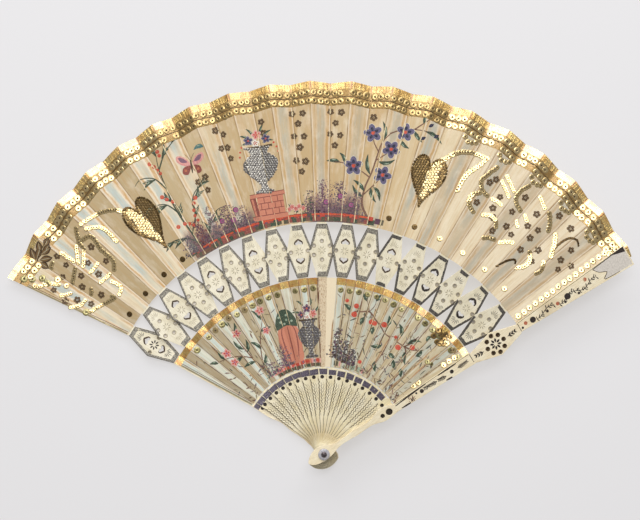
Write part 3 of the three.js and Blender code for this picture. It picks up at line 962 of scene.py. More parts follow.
def paint_front_arms(trim, top):
    """Slots, dots, fern sprigs and a wavy vine in dark paint, with a rubbed patch at the tip"""
    for points in FRONT_SLOTS:
        line(trim, points, [0.5, 1.05, 0.5], top, "ink")
    for look, dots in FRONT_DOTS.items():
        for x, y, radius in dots:
            sheet(trim, circle(x, y, radius, 18), top, look)
    for x, y, facing, length in ((89.8, 0.2, 1, 6.5), (82, -0.1, -1, 5), (76, 0.2, -1, 6),
                                 (70.6, 0.3, -1, 3)):
        sprig(trim, x, y, facing, length, top)
    for k in range(60):
        turn, reach = rng.uniform(0, TURN), 2.1 * rng.random() ** 0.6
        x, y = 58.6 + reach * math.cos(turn), -0.3 + reach * math.sin(turn)
        sheet(trim, circle(x, y, rng.uniform(0.12, 0.3), 6), top + 0.01, "rust" if k % 3 else "ink")
    for start, end in ((142.5, 156.2), (157.8, 163), (165.5, 184)):
        vine = [(start + k * 0.75, 0.5 + 1.3 * math.sin((start + k * 0.75 - 133) * TURN / 15))
                for k in range(round((end - start) / 0.75))]
        line(trim, vine, [0.3, 0.42, 0.42, 0.3], top, "ink")
        for k, (x, y) in enumerate(vine[::2]):
            turn = (0.85 if k % 2 else -0.85) + math.cos((x - 133) * TURN / 15) * 0.5
            sheet(trim, lens(x, y, 2.3, 0.62, turn), top + 0.01, "ink")
            sheet(trim, lens(x, y, 1.4, 0.45, -turn), top + 0.01, "ink")
    sheet(trim, WORN_TIP, top, "rubbed")
    line(trim, WORN_TIP[:4], [0.35, 0.5, 0.35], top + 0.01, "ink")
    line(trim, WORN_TIP[6:] + WORN_TIP[:1], [0.3, 0.45, 0.3, 0.4], top + 0.01, "stain")
    sheet(trim, DARK_TIP, top + 0.02, "ink")
    for x in (131.6, 99.4):
        line(trim, [(x, -2), (x, 0.6), (x, 3.2)], [0.3, 0.4, 0.3], top, "stain")
    for low, high in ((49, 99), (132, 204)):
        edge = [(x, front_arm_edge(x) - 0.45) for x in (low, (low + high) / 2, high)]
        line(trim, edge, [0.3, 0.3, 0.3], top, "olive")


def build_front_guard():
    bone, trim = Shape(), Shape()
    clockwise, anticlockwise = edges(HEAD + FRONT_GORGE)
    bores = [circle(0, 0, BORE, 24), circle(39.5, 0.2, 1.25, 20), circle(43.9, 0.2, 2, 24)]
    lower_arm = quad(*LOWER_ARM, (-2.4, -3.2), (2.6, 4))
    upper_arm = quad(UPPER_ARM, GUARD_LENGTH, (-2.2, -4.6), (3.6, 8.2))
    holes = ring_holes(8, 1.15)
    for outline, openings, low in (
        (clockwise + anticlockwise[::-1], bores, 0), (lower_arm, [], FRONT_ARM_RECESS),
        (HEX_OUTLINE, holes, 0), (upper_arm, [], FRONT_ARM_RECESS),
    ):
        plate(bone, outline, openings, low, GUARD_THICK, "guard_bone", 0.12)
    top = GUARD_THICK + 0.02
    # Dark brown sheets in the round holes, painted shade, with dark rings on their rims
    pierced(trim, holes, "stain", top)
    flower(trim, 3.5, 1.25, top, "ink")
    for facing in (1, -1):
        sprig(trim, HEX_MIDDLE + facing * 8, 0, facing, 5.4, top, 2.6, 0.9)
    # Black discs low in the gorge holes, painted shade
    for x, radius in ((39.5, 1.45), (43.9, 2.2)):
        sheet(trim, circle(x, 0.2, radius, 20), 0.03, "black")
    paint_front_arms(trim, top)
    finish_stick(LAST, bone, trim, FRONT_GUARD_SHIFT)


for number in range(1, LAST):
    build_stick(number)
build_back_guard()
build_front_guard()


# Rivet and washers

PIN_RADIUS = 0.9
RIVET_RADIUS = 1.6
RIVET_TOP = 21.1
WASHER_RADIUS = 3.25
FRONT_WASHER_Z = 19.95


def dome(radius, low, rise, steps, whole):
    """The profile of a rounded top, from its rim inwards"""
    return [(radius * math.cos(k * math.pi / whole), low + rise * math.sin(k * math.pi / whole))
            for k in range(steps)]


def turned(name, profile, look, node, sides=48):
    shape = Shape()
    points = [(r * math.cos(TURN * k / sides), r * math.sin(TURN * k / sides), z)
              for k in range(sides) for r, z in profile]
    count = len(profile)
    faces = [(k * count + j, (k + 1) % sides * count + j, (k + 1) % sides * count + j + 1, k * count + j + 1)
             for k in range(sides) for j in range(count - 1)]
    shape.add(points, faces, look)
    piece = shape.finish(name)
    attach(piece, "root")
    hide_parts(node)


turned("rivet_pin", [(0.001, 0), (1.45, 0), (RIVET_RADIUS, 0.12), (RIVET_RADIUS, 0.4), (PIN_RADIUS, 0.4),
                     (PIN_RADIUS, RIVET_TOP), (RIVET_RADIUS, RIVET_TOP)]
       + dome(RIVET_RADIUS, RIVET_TOP + 0.1, 0.4, 9, 16), "rivet_steel", "rivet")
turned("washer_back", [(BORE, 0.45), (3.1, 0.45), (WASHER_RADIUS, 0.55), (WASHER_RADIUS, 0.95), (3.1, 1.05),
                       (BORE, 1.05), (BORE, 0.45)], "pearl", "back_washer")
turned("washer_front", [(BORE, FRONT_WASHER_Z), (3.15, FRONT_WASHER_Z), (WASHER_RADIUS, FRONT_WASHER_Z + 0.1)]
       + dome(WASHER_RADIUS, FRONT_WASHER_Z + 0.5, 0.6, 8, 20)
       + [(BORE, FRONT_WASHER_Z + 1.1), (BORE, FRONT_WASHER_Z)], "pearl", "front_washer")


# Leaves

WHOLE = (-1, LAST)


def side_of(leaf):
    return "upper" if leaf is UPPER_LEAF else "lower"


def first_edge(radius, leaf):
    """The left side of the first panel, in sticks across: it runs straight along the back guard"""
    inner, outer = leaf
    near, far = (3, 11) if leaf is UPPER_LEAF else (0.2, 2.6)
    return -math.asin((near + (far - near) * (radius - inner) / (outer - inner)) / radius) / STEP


def columns(index, radius, leaf):
    """Places across a segment: half of the left panel, the free panel and half of the right one"""
    left = first_edge(radius, leaf) if index == 0 else index
    return ([left + (index + FOLD - left) * k / 4 for k in range(4)]
            + [index + FOLD + k / 16 for k in range(8)]
            + [index + 1 - FOLD + k / 12 for k in range(4)])


def finish_segment(shape, kind, index, leaf, sharp=35):
    """Makes the piece between two sticks"""
    piece = shape.finish(f"{side_of(leaf)}_{kind}_{index + 1:02d}", sharp)
    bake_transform(piece)
    return piece


def ribbon(shape, index, leaf, rows, look, span=WHOLE):
    """A strip along the leaf, as [distance in from the edge, height over the leaf] for each of its rows"""

    def places(radius):
        return [across for across in columns(index, radius, leaf) if span[0] - 0.01 < across < span[1] + 0.01]

    points, uvs = [], []
    for back, lift in rows:
        for across in places(leaf[1] - max(back, 0)):
            radius = edge_at(across, back, leaf)
            points.append((*polar(across, radius), leaf_height(across, radius) + lift))
            uvs.append((across, radius / 100))
    width = len(places(leaf[1]))
    corners = [row * width + k for row in range(len(rows) - 1) for k in range(width - 1)]
    shape.add(points, [(a, a + width, a + width + 1, a + 1) for a in corners], look, uvs)


def build_leaf(index, leaf):
    shape = Shape()
    length = leaf[1] - leaf[0]
    upper = leaf is UPPER_LEAF
    count = 24 if upper else 16
    backs = [length * k / count for k in range(count + 1)]
    front = [(back, 0) for back in backs] + [(length, -LEAF_THICK)]
    ribbon(shape, index, leaf, front, f"{side_of(leaf)}_leaf_paint")
    ribbon(shape, index, leaf, [(back, -LEAF_THICK) for back in backs[::-1]], "leaf_back")
    width = UPPER_GILT if upper else LOWER_GILT
    gilt = [(3.2, -LEAF_THICK - 0.04), (0.0, -LEAF_THICK - 0.04), (-0.06, -0.1), (0.0, 0.05),
            (width / 2, 0.06), (width, 0.04), (width, 0)]
    if upper:
        # The middle of the upper border takes the darker copy of the gilt, painted shade
        ribbon(shape, index, leaf, gilt, "dull_gilt" if 4 < index < 13 else "gilt")
    else:
        ribbon(shape, index, leaf, gilt, "lower_gilt", LOWER_GILT_SPANS.get(index, WHOLE))
    piece = finish_segment(shape, "paper", index, leaf)
    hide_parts(f"{side_of(leaf)}_leaf_{index + 1:02d}")


for segment in range(LAST):
    build_leaf(segment, UPPER_LEAF)
    build_leaf(segment, LOWER_LEAF)


# Spangles

decor_rng = random.Random(23)


def jittered(spot, reach=0.12):
    return spot[0] + decor_rng.uniform(-reach, reach), spot[1] + decor_rng.uniform(-reach, reach)


class Spangles:
    """Stamped discs with a hole, each flat on its own panel, gathered by segment"""

    def __init__(self, leaf):
        self.leaf = leaf
        self.lift = 0.14 if leaf is UPPER_LEAF else 0.1
        self.shapes = [Shape() for _ in range(LAST)]

    def add(self, x, y, radius, look="spangle", lift=0.0, tilt=0.09, knot="knot"):
        across = leaf_index(x, y)
        inside = self.leaf[0] + radius * 0.5 < math.hypot(x, y) < edge_at(across, radius * 0.4, self.leaf)
        if not inside or across > LAST - 0.01:
            return
        shape = self.shapes[segment_at(across)]
        tilt = min(tilt, self.lift / radius)
        lift += self.lift
        level = height_at(x, y)
        step = 0.05
        slope_x = (height_at(x + step, y) - level) / step + decor_rng.uniform(-tilt, tilt)
        slope_y = (height_at(x, y + step) - level) / step + decor_rng.uniform(-tilt, tilt)
        sides = 14 if radius > 1.4 else 9
        start = decor_rng.uniform(0, TURN)

        def lay(dx, dy, rise):
            return x + dx, y + dy, level + dx * slope_x + dy * slope_y + lift + rise

        points = []
        for share, cup in ((0.17, -0.04), (0.3, 0.0), (0.86, 0.0), (1.0, -0.07)):
            for k in range(sides):
                reach, turn = share * radius, start + TURN * k / sides
                points.append(lay(reach * math.cos(turn), reach * math.sin(turn), cup * radius))
        faces = []
        for ring in (0, sides, 2 * sides):
            faces += [(ring + sides + k, ring + sides + (k + 1) % sides, ring + (k + 1) % sides, ring + k)
                      for k in range(sides)]
        shape.add(points, faces, look)
        if knot:
            dot = [lay(a, b, 0.09) for a, b in circle(0, 0, 0.15 * radius + 0.16, 6)]
            shape.add(dot, [tuple(range(6))], knot)

    def chain(self, path, radius, ends=None, spacing=1.05, jitter=0.12, look="spangle"):
        """Overlapping spangles along a curve through points, as sticks across and radius"""
        line = smooth_path([polar(*p) for p in path], 8)
        total = sum(math.dist(a, b) for a, b in zip(line, line[1:]))
        size = radius
        travelled, due = 0.0, 0.0
        for a, b in zip(line, line[1:]):
            length = math.dist(a, b)
            while due <= travelled + length:
                spot = between(a, b, (due - travelled) / max(length, 1e-6))
                if ends:
                    size = radius + (ends - radius) * due / total
                self.add(*jittered(spot, jitter), size, look)
                due += size * spacing
            travelled += length

    def fill(self, outline, inside, pitch, radius, look="spangle", tilt=0.09):
        """Rows of small spangles in the box round an outline, where a test holds"""
        left, y, right, top = box_of(outline)
        row = 0
        while y < top:
            x = left + (pitch / 2 if row % 2 else 0)
            while x < right:
                if inside(x, y):
                    self.add(*jittered((x, y)), radius, look, 0.0, tilt)
                x += pitch
            y += pitch * 0.87
            row += 1

    def finish(self):
        for index, shape in enumerate(self.shapes):
            if shape.faces:
                finish_segment(shape, "spangles", index, self.leaf, 50)


# Painting

class Painting:
    """Flat motifs in plan, cut at the leaf's folds and laid on its panels"""

    def __init__(self, leaf):
        self.leaf = leaf
        self.mesh = bmesh.new()
        self.names = []

    def corners(self, loop, layer):
        return [self.mesh.verts.new((x, y, 0.02 + 0.012 * layer)) for x, y in loop]

    def patch(self, corners, look):
        if look not in self.names:
            self.names.append(look)
        self.mesh.faces.new(corners).material_index = self.names.index(look)

    def add(self, loop, look, layer=1):
        loop = wound(loop, True)
        corners = self.corners(loop, layer)
        for triangle in cap([loop]):
            self.patch([corners[k] for k in triangle], look)

    def face(self, loop, look, layer=1):
        """A convex patch"""
        self.patch(self.corners(wound(loop, True), layer), look)

    def stroke(self, points, widths, look, layer=1, steps=5):
        """A brush line through plan points that swells and thins"""
        line = smooth_path(points, steps)
        count = len(line) - 1
        left, right = [], []
        for k, (x, y) in enumerate(line):
            ahead, behind = line[min(k + 1, count)], line[max(k - 1, 0)]
            along = Vector((ahead[0] - behind[0], ahead[1] - behind[1])).normalized()
            half = half_width(widths, k / count)
            left.append((x - along.y * half, y + along.x * half))
            right.append((x + along.y * half, y - along.x * half))
        for k in range(count):
            self.face([left[k], right[k], right[k + 1], left[k + 1]], look, layer)

    def strokes(self, paths, widths, look, steps=6):
        for path in paths:
            self.stroke(path, widths, look, 2, steps)

    def dot(self, x, y, radius, look, layer=1, sides=10):
        self.face(circle(x, y, radius, sides), look, layer)

    def blade(self, x, y, length, width, turn, curl, look="leaf_green", light="pale_green", layer=2):
        """A curved leaf with a pale side"""
        spine = [(x + length * t * math.cos(turn + curl * t), y + length * t * math.sin(turn + curl * t))
                 for t in (0, 0.33, 0.66, 1)]
        self.stroke(spine, [0.15, width, width * 0.8, 0.1], look, layer, 4)
        side = width * 0.22
        (ax, ay), (bx, by) = ((px + side * math.sin(turn + curl), py - side * math.cos(turn + curl))
                              for px, py in spine[1:3])
        middle = ((ax + bx) / 2, (ay + by) / 2)
        self.stroke([(ax, ay), middle, (bx, by)], [0.1, width * 0.3, 0.1], light, layer + 1, 3)

    def blades(self, rows, width):
        for x, y, length, degrees, curl in rows:
            self.blade(x, y, length, width, math.radians(degrees), curl)

    def blossom(self, x, y, reach, turn, look="petal", shade="navy", middle="berry"):
        """A flower of five round petals: pale rim, petal, dark throat and a small bright middle"""
        for k in range(5):
            angle = turn + TURN * k / 5
            spot = x + reach * 0.6 * math.cos(angle), y + reach * 0.6 * math.sin(angle)
            for radius, paint, layer, shift in ((0.44, "white", 4, 0.02), (0.425, look, 5, 0.0),
                                                (0.2, shade, 6, -0.12)):
                oval = [(px * 1.12 + shift * reach, py * 0.86) for px, py in circle(0, 0, radius * reach, 14)]
                self.add(placed(oval, *spot, angle), paint, layer)
        self.dot(x, y, reach * 0.2, middle, 7)
        self.dot(x + reach * 0.16, y + reach * 0.1, reach * 0.1, "coral", 7)

    def rosette(self, across, radius, reach=1.85):
        """Five small knots round a pale one"""
        x, y = polar(across, radius)
        start = decor_rng.uniform(0, TURN)
        size = reach * decor_rng.uniform(0.9, 1.1)
        for k in range(5):
            turn = start + TURN * k / 5
            spot = (x + size * math.cos(turn) * 0.68, y + size * math.sin(turn) * 0.68)
            self.dot(*spot, size * 0.45, "rosette", 2, 9)
            dab = (spot[0] + 0.22 * math.cos(turn), spot[1] + 0.22 * math.sin(turn))
            self.dot(*dab, size * 0.2, "bronze", 3, 6)
        self.dot(x, y, size * 0.2, "earthy_gilt", 3, 6)

    def sprinkle(self, across, radius, wide, tall, count, looks, size=(0.16, 0.32)):
        """A bush of fine dabs, dense low down and thin at the top"""
        foot = Vector(polar(across, radius))
        up = foot.normalized()
        side = Vector((up.y, -up.x))
        for layer, share, spread, dabs in ((3, 0.9, 0.27, (0.35, 0.65)), (4, 1.3, 0.42, size)):
            for _ in range(round(count * share)):
                t = decor_rng.random() ** 1.6
                s = decor_rng.gauss(0, spread) * (1 - 0.45 * t)
                spot = foot + side * s * wide + up * t * tall
                self.dot(spot.x, spot.y, decor_rng.uniform(*dabs) * (1 - 0.4 * t), decor_rng.choice(looks),
                         layer + decor_rng.choice((0, 1)), 6)

    def ground(self, start, end, low, high, looks, layer=1, piece=0.11, gap=0.0):
        """Ground painted in short blocks of changing colour and height"""
        across = start
        while across < end:
            width = piece * decor_rng.uniform(0.6, 1.5)
            a, b = low + decor_rng.uniform(-0.15, 0.15), high + decor_rng.uniform(-0.15, 0.15)
            if decor_rng.random() >= gap:
                near, far = across - 0.01, across + width
                self.face([polar(near, a), polar(far, a + decor_rng.uniform(-0.15, 0.15)),
                           polar(far, b + decor_rng.uniform(-0.15, 0.15)), polar(near, b)],
                          decor_rng.choice(looks), layer)
            across += width

    def finish(self):
        for k in range(1, 4 * LAST):
            if k % 4 == 2:
                continue
            turn = FIRST_ANGLE - k * STEP / 4
            geometry = self.mesh.verts[:] + self.mesh.edges[:] + self.mesh.faces[:]
            bmesh.ops.bisect_plane(self.mesh, geom=geometry, plane_co=(0, 0, 0), dist=1e-5,
                                   plane_no=(-math.sin(turn), math.cos(turn), 0))
        shapes = [Shape() for _ in range(LAST)]
        for face in self.mesh.faces:
            middle = face.calc_center_median()
            across = leaf_index(middle.x, middle.y)
            on_leaf = self.leaf[0] < math.hypot(middle.x, middle.y) < edge_at(across, 0, self.leaf)
            if not on_leaf or not -0.5 < across < LAST:
                continue
            corners = [tuple(corner.co) for corner in face.verts]
            points = [(x, y, height_at(x, y) + lift) for x, y, lift in corners]
            uvs = [(leaf_index(x, y), math.hypot(x, y) / 100) for x, y, lift in corners]
            look = self.names[face.material_index]
            shapes[segment_at(across)].add(points, [tuple(range(len(points)))], look, uvs)
        self.mesh.free()
        for index, shape in enumerate(shapes):
            if shape.faces:
                finish_segment(shape, "painting", index, self.leaf)


# Borders of both leaves

upper_spangles = Spangles(UPPER_LEAF)
lower_spangles = Spangles(LOWER_LEAF)
upper_art = Painting(UPPER_LEAF)
lower_art = Painting(LOWER_LEAF)

for half_panel in range(2 * LAST + 1):
    panel = half_panel / 2
    for third in (-1, 0, 1):
        place = panel + third / 6.2
        if not -0.42 < place < LAST - 0.1 or 0.2 < place < 0.84:
            continue
        for row in SPANGLE_ROWS:
            if decor_rng.random() < 0.03:
                continue
            spot = polar(place + decor_rng.uniform(-0.02, 0.02),
                         edge_at(place, row) + decor_rng.uniform(-0.25, 0.25))
            # Spangles in the middle of the upper border take the darker copy, painted shade
            upper_spangles.add(*spot, 2.12 * decor_rng.uniform(0.93, 1.04),
                               "dull_spangle" if 4.8 < place < 12.3 else "spangle")
    if 0 < panel < LAST - 0.1 and not 8.8 < panel < 9.8 and decor_rng.random() > 0.12:
        radius = LOWER_LEAF[1] - LOWER_GILT - 2.1 - decor_rng.uniform(0, 0.9)
        lower_spangles.add(*polar(panel, radius), decor_rng.uniform(1.6, 2.1),
                           "spangle" if panel < 5 and half_panel % 2 else "green_spangle")

BORDER_ROWS = [(UPPER_GILT, 0.02), (UPPER_GILT + 0.3, 0.05), (12, 0.05), (12.2, 0.01)]
THREAD_ROWS = [(THREAD_AT - 0.2, 0.1), (THREAD_AT, 0.24), (THREAD_AT + 0.2, 0.1)]
for segment in range(LAST):
    shape = Shape()
    for span in ((-1, 0.25), (0.83, 1)) if segment == 0 else (WHOLE,):
        ribbon(shape, segment, UPPER_LEAF, BORDER_ROWS, "border_ground", span)
    ribbon(shape, segment, UPPER_LEAF, THREAD_ROWS, "stain")
    for across in columns(segment, UPPER_LEAF[1], UPPER_LEAF)[::2]:
        x, y = polar(across + 0.03, edge_at(across, THREAD_AT))
        level = height_at(x, y) + 0.2
        dash = lens(x - 0.7, y - 0.3, 1.5, 0.3, decor_rng.uniform(0.2, 0.6))
        shape.add([(a, b, level) for a, b in dash], [tuple(range(len(dash)))], "bullion")
    finish_segment(shape, "thread", segment, UPPER_LEAF)


# Garlands, hearts and rosettes, as points with [sticks across, distance from the rivet]

# Each garland has its spangles' radius, and one at its end where it swells
GARLANDS = [
    ([(12.3, 175), (12.55, 180.5), (12.8, 186.5), (13.15, 190.5), (13.6, 191.5)], 1.15),
    ([(13.6, 191), (13.5, 185.5), (13.35, 179.5), (13.27, 173), (13.26, 166)], 0.95, 2.0),
    ([(13.95, 190), (13.84, 184), (13.76, 179), (13.9, 175), (14.13, 173.4)], 1.1),
    ([(13.9, 172.5), (13.72, 168.6), (13.8, 163.7), (14.07, 161)], 1.1),
    ([(14.3, 189), (14.52, 186), (14.74, 183)], 1.0), ([(14.27, 185), (14.48, 182), (14.68, 179.4)], 1.0),
    ([(14.32, 173.6), (14.48, 173.7), (14.66, 173.2)], 1.0),
    ([(14.93, 191.5), (14.82, 185.6), (14.88, 180.2), (15.18, 177.5)], 1.1),
    ([(15.34, 190.5), (15.5, 188.8), (15.64, 187)], 1.0),
    ([(14.35, 163), (14.55, 165), (14.8, 163.5), (14.9, 160.5)], 1.05),
    ([(14.78, 152.3), (14.95, 154.6), (15.12, 155.3)], 1.1),
    ([(15.3, 155.9), (15.44, 158.6), (15.6, 160.4)], 1.0),
    ([(15.36, 176.8), (15.5, 175.2)], 1.0), ([(15.27, 171.2), (15.4, 169.6)], 1.0),
    ([(15.82, 186.7), (16.02, 183), (16.15, 178.7)], 1.15),
    ([(16.36, 181), (16.55, 175.5), (16.72, 170.2)], 1.15),
    ([(16.2, 163.5), (16.38, 160), (16.4, 155.5), (16.25, 152)], 1.1),
    ([(16.7, 165), (16.85, 161), (16.8, 156.5)], 1.0),
]
LEFT_GARLANDS = [
    ([(1.76, 191.4), (2.27, 188.8), (2.64, 184.7), (2.88, 179)], 1.4),
    ([(1.76, 187.4), (2.08, 181.3), (2.1, 169.5)], 1.4),
    ([(1.57, 191.8), (1.33, 185.4), (1.3, 181.5)], 1.5),
    ([(1.45, 185.1), (1.7, 182), (1.6, 172.7), (1.6, 163.8), (1.37, 159.6)], 1.5),
    ([(1.2, 185.5), (0.83, 177.7)], 1.35), ([(1.28, 181.2), (0.86, 174.5)], 1.35),
    ([(0.81, 189.7), (0.83, 181)], 1.35), ([(1.21, 169.5), (0.83, 169.2)], 1.3),
    ([(1.18, 160), (0.79, 161.3)], 1.3), ([(1.05, 156.5), (1.1, 150.5), (0.85, 148.4)], 1.3),
    ([(0.68, 177.8), (0.23, 174.3)], 1.4), ([(0.44, 190.9), (0.26, 189.5)], 1.4),
    ([(0.45, 163.5), (0.27, 161.5)], 1.4), ([(-0.18, 157), (0.25, 153), (0.68, 149.2), (0.62, 152)], 1.3),
    ([(-0.3, 190), (-0.1, 186), (0.05, 180)], 1.4), ([(-0.2, 176), (0.02, 171.5)], 1.3),
    ([(-0.36, 168), (-0.15, 163.5), (0.1, 163)], 1.3),
]
WIRES = [
    [(15.72, 144.2), (15.84, 150.2), (16.02, 154.3), (16.14, 152.8)],
    [(16.64, 172), (16.6, 178.5), (16.66, 185), (16.84, 187.6), (17, 186)],
]
ROSETTES = [
    (13.99, 180.6), (13.97, 167), (14.46, 176.8), (14.47, 169.3), (15.04, 185), (15.57, 181.8), (15.6, 173.4),
    (14.99, 174), (15.13, 165.5), (14.86, 158.4), (15.4, 163.6), (15.89, 169.2), (15.93, 160.7),
    (16.32, 167.7), (16.43, 160.5), (14.1, 184), (16.05, 190), (15.9, 175.5), (14.62, 164.8), (16.5, 189.5),
    (16.95, 181.5), (17.3, 176), (17.15, 169), (16.98, 173.5),
    (0.62, 183.4), (0.28, 181.4), (0.62, 172.6), (0.35, 168.7), (1.47, 178.5), (1.44, 166.7), (1.05, 174),
    (0.98, 165.2), (0.49, 156.9), (0.06, 159), (-0.17, 181.5), (-0.27, 172.5), (-0.06, 167), (0.68, 190.6),
]
PANEL_ROSETTES = {
    6.33: (191, 183, 176.5), 6.17: (194.5, 183.6), 5.43: (171.7,), 5.19: (170.7,), 5.34: (164.3,),
    8.24: (194.5, 181.6, 167.6), 8.52: (194.3, 181, 166.6), 8.38: (188.6, 175, 161),
    9.54: (194.6, 181.4), 9.26: (194.8, 182), 9.4: (188.4, 175.6), 7.4: (192.5, 186), 10.4: (193.5,),
}


def sewn_heart(point, turn, length, width, bright_side):
    """A heart in three textures: bullion outline, dull lobe edges and bright spangles in the middle"""
    x, y = polar(*point)
    outline = heart(x, y, length, width, turn, 64)
    smaller = heart(x + 1.9 * math.cos(turn), y + 1.9 * math.sin(turn), length - 3.6, width - 3.2, turn, 48)
    upper_art.add(outline, "earthy_gilt")
    for a, b in sides_of(outline):
        pieces = max(1, round(math.dist(a, b) / 1.25))
        for k in range(pieces):
            upper_spangles.add(*between(a, b, k / pieces), 0.72, "bullion", 0.1, 0.3, None)

    def bright(a, b):
        """Whether a point lies within the smaller heart and near its middle line"""
        lobe = (a - x) * math.sin(turn) - (b - y) * math.cos(turn)
        return contains(smaller, a, b) and -0.9 < lobe * bright_side < width * 0.3

    def dull(a, b):
        return contains(outline, a, b) and not bright(a, b)

    upper_spangles.fill(outline, bright, 1.72, 0.84, tilt=0.02)
    upper_spangles.fill(outline, dull, 1.62, 0.76, "bronze_spangle")


def beside_front_guard(spangles, x, side, size):
    """A spangle at a distance x along the front guard, off to its side"""
    spangles.add(*placed([(x, side)], 0, 0, stick_angle(LAST))[0], size)


sewn_heart((12.36, 150.5), math.radians(73.5), 29, 19.5, 1)
sewn_heart((3.2, 148.5), math.radians(129), 32, 19, -1)

for path, size, *end_size in GARLANDS:
    upper_spangles.chain(path, size * 1.32, *end_size)
for path, size in LEFT_GARLANDS:
    upper_spangles.chain(path, size)
for path in WIRES:
    upper_art.stroke([polar(*p) for p in path], [0.6, 1.3, 1.4, 1.2, 0.7], "stain", 2, 6)
    upper_spangles.chain(path, 0.62, None, 1.7, 0.2, "bullion")
for across, radius in ROSETTES:
    upper_art.rosette(across, radius)

# Painted lines along the left edge of both leaves: a pale olive line, and a dark line within it that is
# painted shadow along the edge
for painting in (upper_art, lower_art):
    inner, outer = painting.leaf
    for inward, width, look in ((0.5, 0.8, "olive_wash"), (1.5, 0.35, "stem")):
        radii = [inner + 0.5 + (outer - inner - 1) * k / 8 for k in range(9)]
        edge = [polar(first_edge(radius, painting.leaf) + inward / radius / STEP, radius) for radius in radii]
        painting.stroke(edge, [width, width], look, 1, 2)

# A gilt leaf motif at the left end
for x, y, length, degrees in ((-167.4, 109.2, 7.4, 108), (-166.6, 109.6, 8.4, 72), (-164.4, 113.6, 6.6, 96),
                              (-163.9, 112.8, 7, 34), (-164.9, 109.6, 7.4, 10), (-164.6, 108.2, 5.6, -34),
                              (-161.2, 117.6, 5, 70), (-161.8, 113.2, 6, 62)):
    turn = math.radians(degrees)
    upper_art.add(lens(x, y, length * 1.1, 4, turn, 10), "knot", 6)
    upper_art.add(lens(x, y, length * 0.95, 2.6, turn, 10), "bronze", 7)
    upper_art.add(lens(x, y, length, 0.45, turn, 6), "faint", 8)

# Single spangles
for stick in (13, 14, 15, 16, 17):
    for off, depth in ((-0.16, 13.8), (-0.05, 15.4), (0.07, 14.6), (0.16, 13.4)):
        upper_spangles.add(*polar(stick + off, edge_at(stick + off, depth)), 1.6)
for across, radius, size in ((-0.3, 199.5, 2.3), (-0.2, 195.4, 2.2), (-0.05, 191, 2.1), (-0.1, 186.8, 2.2),
                             (0.13, 182.8, 2), (-0.33, 192, 1.6), (0.12, 176.5, 1.7), (-0.25, 158.8, 2.1)):
    upper_spangles.add(*polar(across, radius), size, "green_spangle" if size > 2 else "spangle")
for across in (0.5, 1.5, 2.5, 3.4, 11.5, 12.5, 13.5, 14.5, 15.5, 16.5):
    look = "spangle" if across > 13 else "bullion"
    upper_spangles.add(*polar(across, 137 if across < 9 else 138.5), 1.7, look)
for k in range(17):
    x = 134.5 + 4.05 * k
    beside_front_guard(upper_spangles, x, 3.6 + 4.6 * (x - 131.5) / 74.5 + 2.2, 1.85)
for x in (63, 66.5, 84, 87.6, 91.2):
    beside_front_guard(lower_spangles, x, 2.6 + 1.4 * (x - 48.2) / 51.7 + 2, 1.7)

for across, places in PANEL_ROSETTES.items():
    for radius in places:
        upper_art.rosette(across, radius, 1.9)


# Painting of the upper leaf

upper_art.ground(3.9, 10.95, 132.2, 135.3, ["earth", "leaf_green", "vine", "mortar", "stem"], 1, 0.12, 0.02)
upper_art.ground(3.7, 10.9, 134.7, 137.0, ["crimson", "mortar", "earth", "crimson", "vine"], 2)
upper_art.ground(3.8, 10.7, 135.6, 136.5, ["orange", "orange", "berry"], 3, 0.16, 0.2)
upper_art.ground(4.0, 10.6, 134.5, 135.4, ["mortar", "crimson", "plum"], 4, 0.1, 0.5)
upper_art.ground(10.5, 11.4, 133.4, 136.6, ["mortar", "plum", "earth"], 1, 0.08, 0.35)

# Bushes with a few open flowers
for across, radius, wide, tall, count, looks in (
    (3.95, 136, 9, 11, 130, ["slate", "dusk", "slate"]),
    (4.5, 137, 9, 15, 200, ["dusk", "plum", "plum", "mortar"]),
    (5.05, 137, 9, 19, 190, ["dusk", "slate", "dusk"]),
    (5.6, 137, 12, 15, 240, ["plum", "dusk", "mauve", "leaf_green"]),
    (6.15, 137, 10, 12, 130, ["dusk", "slate", "plum"]),
    (8.6, 137, 8, 13, 130, ["dusk", "plum", "leaf_green"]),
    (9.05, 137, 9, 19, 200, ["dusk", "plum", "mauve"]),
    (9.6, 137, 10, 18, 230, ["plum", "dusk", "slate"]),
    (10.2, 137, 9, 13, 150, ["dusk", "slate", "plum"]),
):
    upper_art.sprinkle(across, radius, wide, tall, count, looks)
for across, radius in ((5.35, 144.5), (5.75, 142.5), (5.95, 147.5), (9.15, 143), (9.65, 146.5), (10.05, 142)):
    x, y = polar(across, radius)
    for reach, paint, layer in ((1.7, "plum", 5), (1.3, "magenta", 6), (0.7, "mauve", 7)):
        upper_art.dot(x + 0.2 * (layer - 5), y, reach, paint, layer, 12)


class Local:
    """Plan coordinates about an upright axis that starts at a place on the leaf"""

    def __init__(self, across, radius, degrees=None):
        self.x, self.y = polar(across, radius)
        turn = math.radians(degrees) if degrees is not None else math.atan2(self.y, self.x)
        self.up = Vector((math.cos(turn), math.sin(turn)))
        self.side = Vector((self.up.y, -self.up.x))

    def at(self, x, y):
        return (self.x + self.side.x * x + self.up.x * y, self.y + self.side.y * x + self.up.y * y)

    def loop(self, points):
        return [self.at(*p) for p in points]

    def box(self, left, low, right, high):
        return self.loop([(left, low), (right, low), (right, high), (left, high)])

    def turn(self, degrees):
        return math.atan2(self.up.y, self.up.x) + math.radians(degrees)


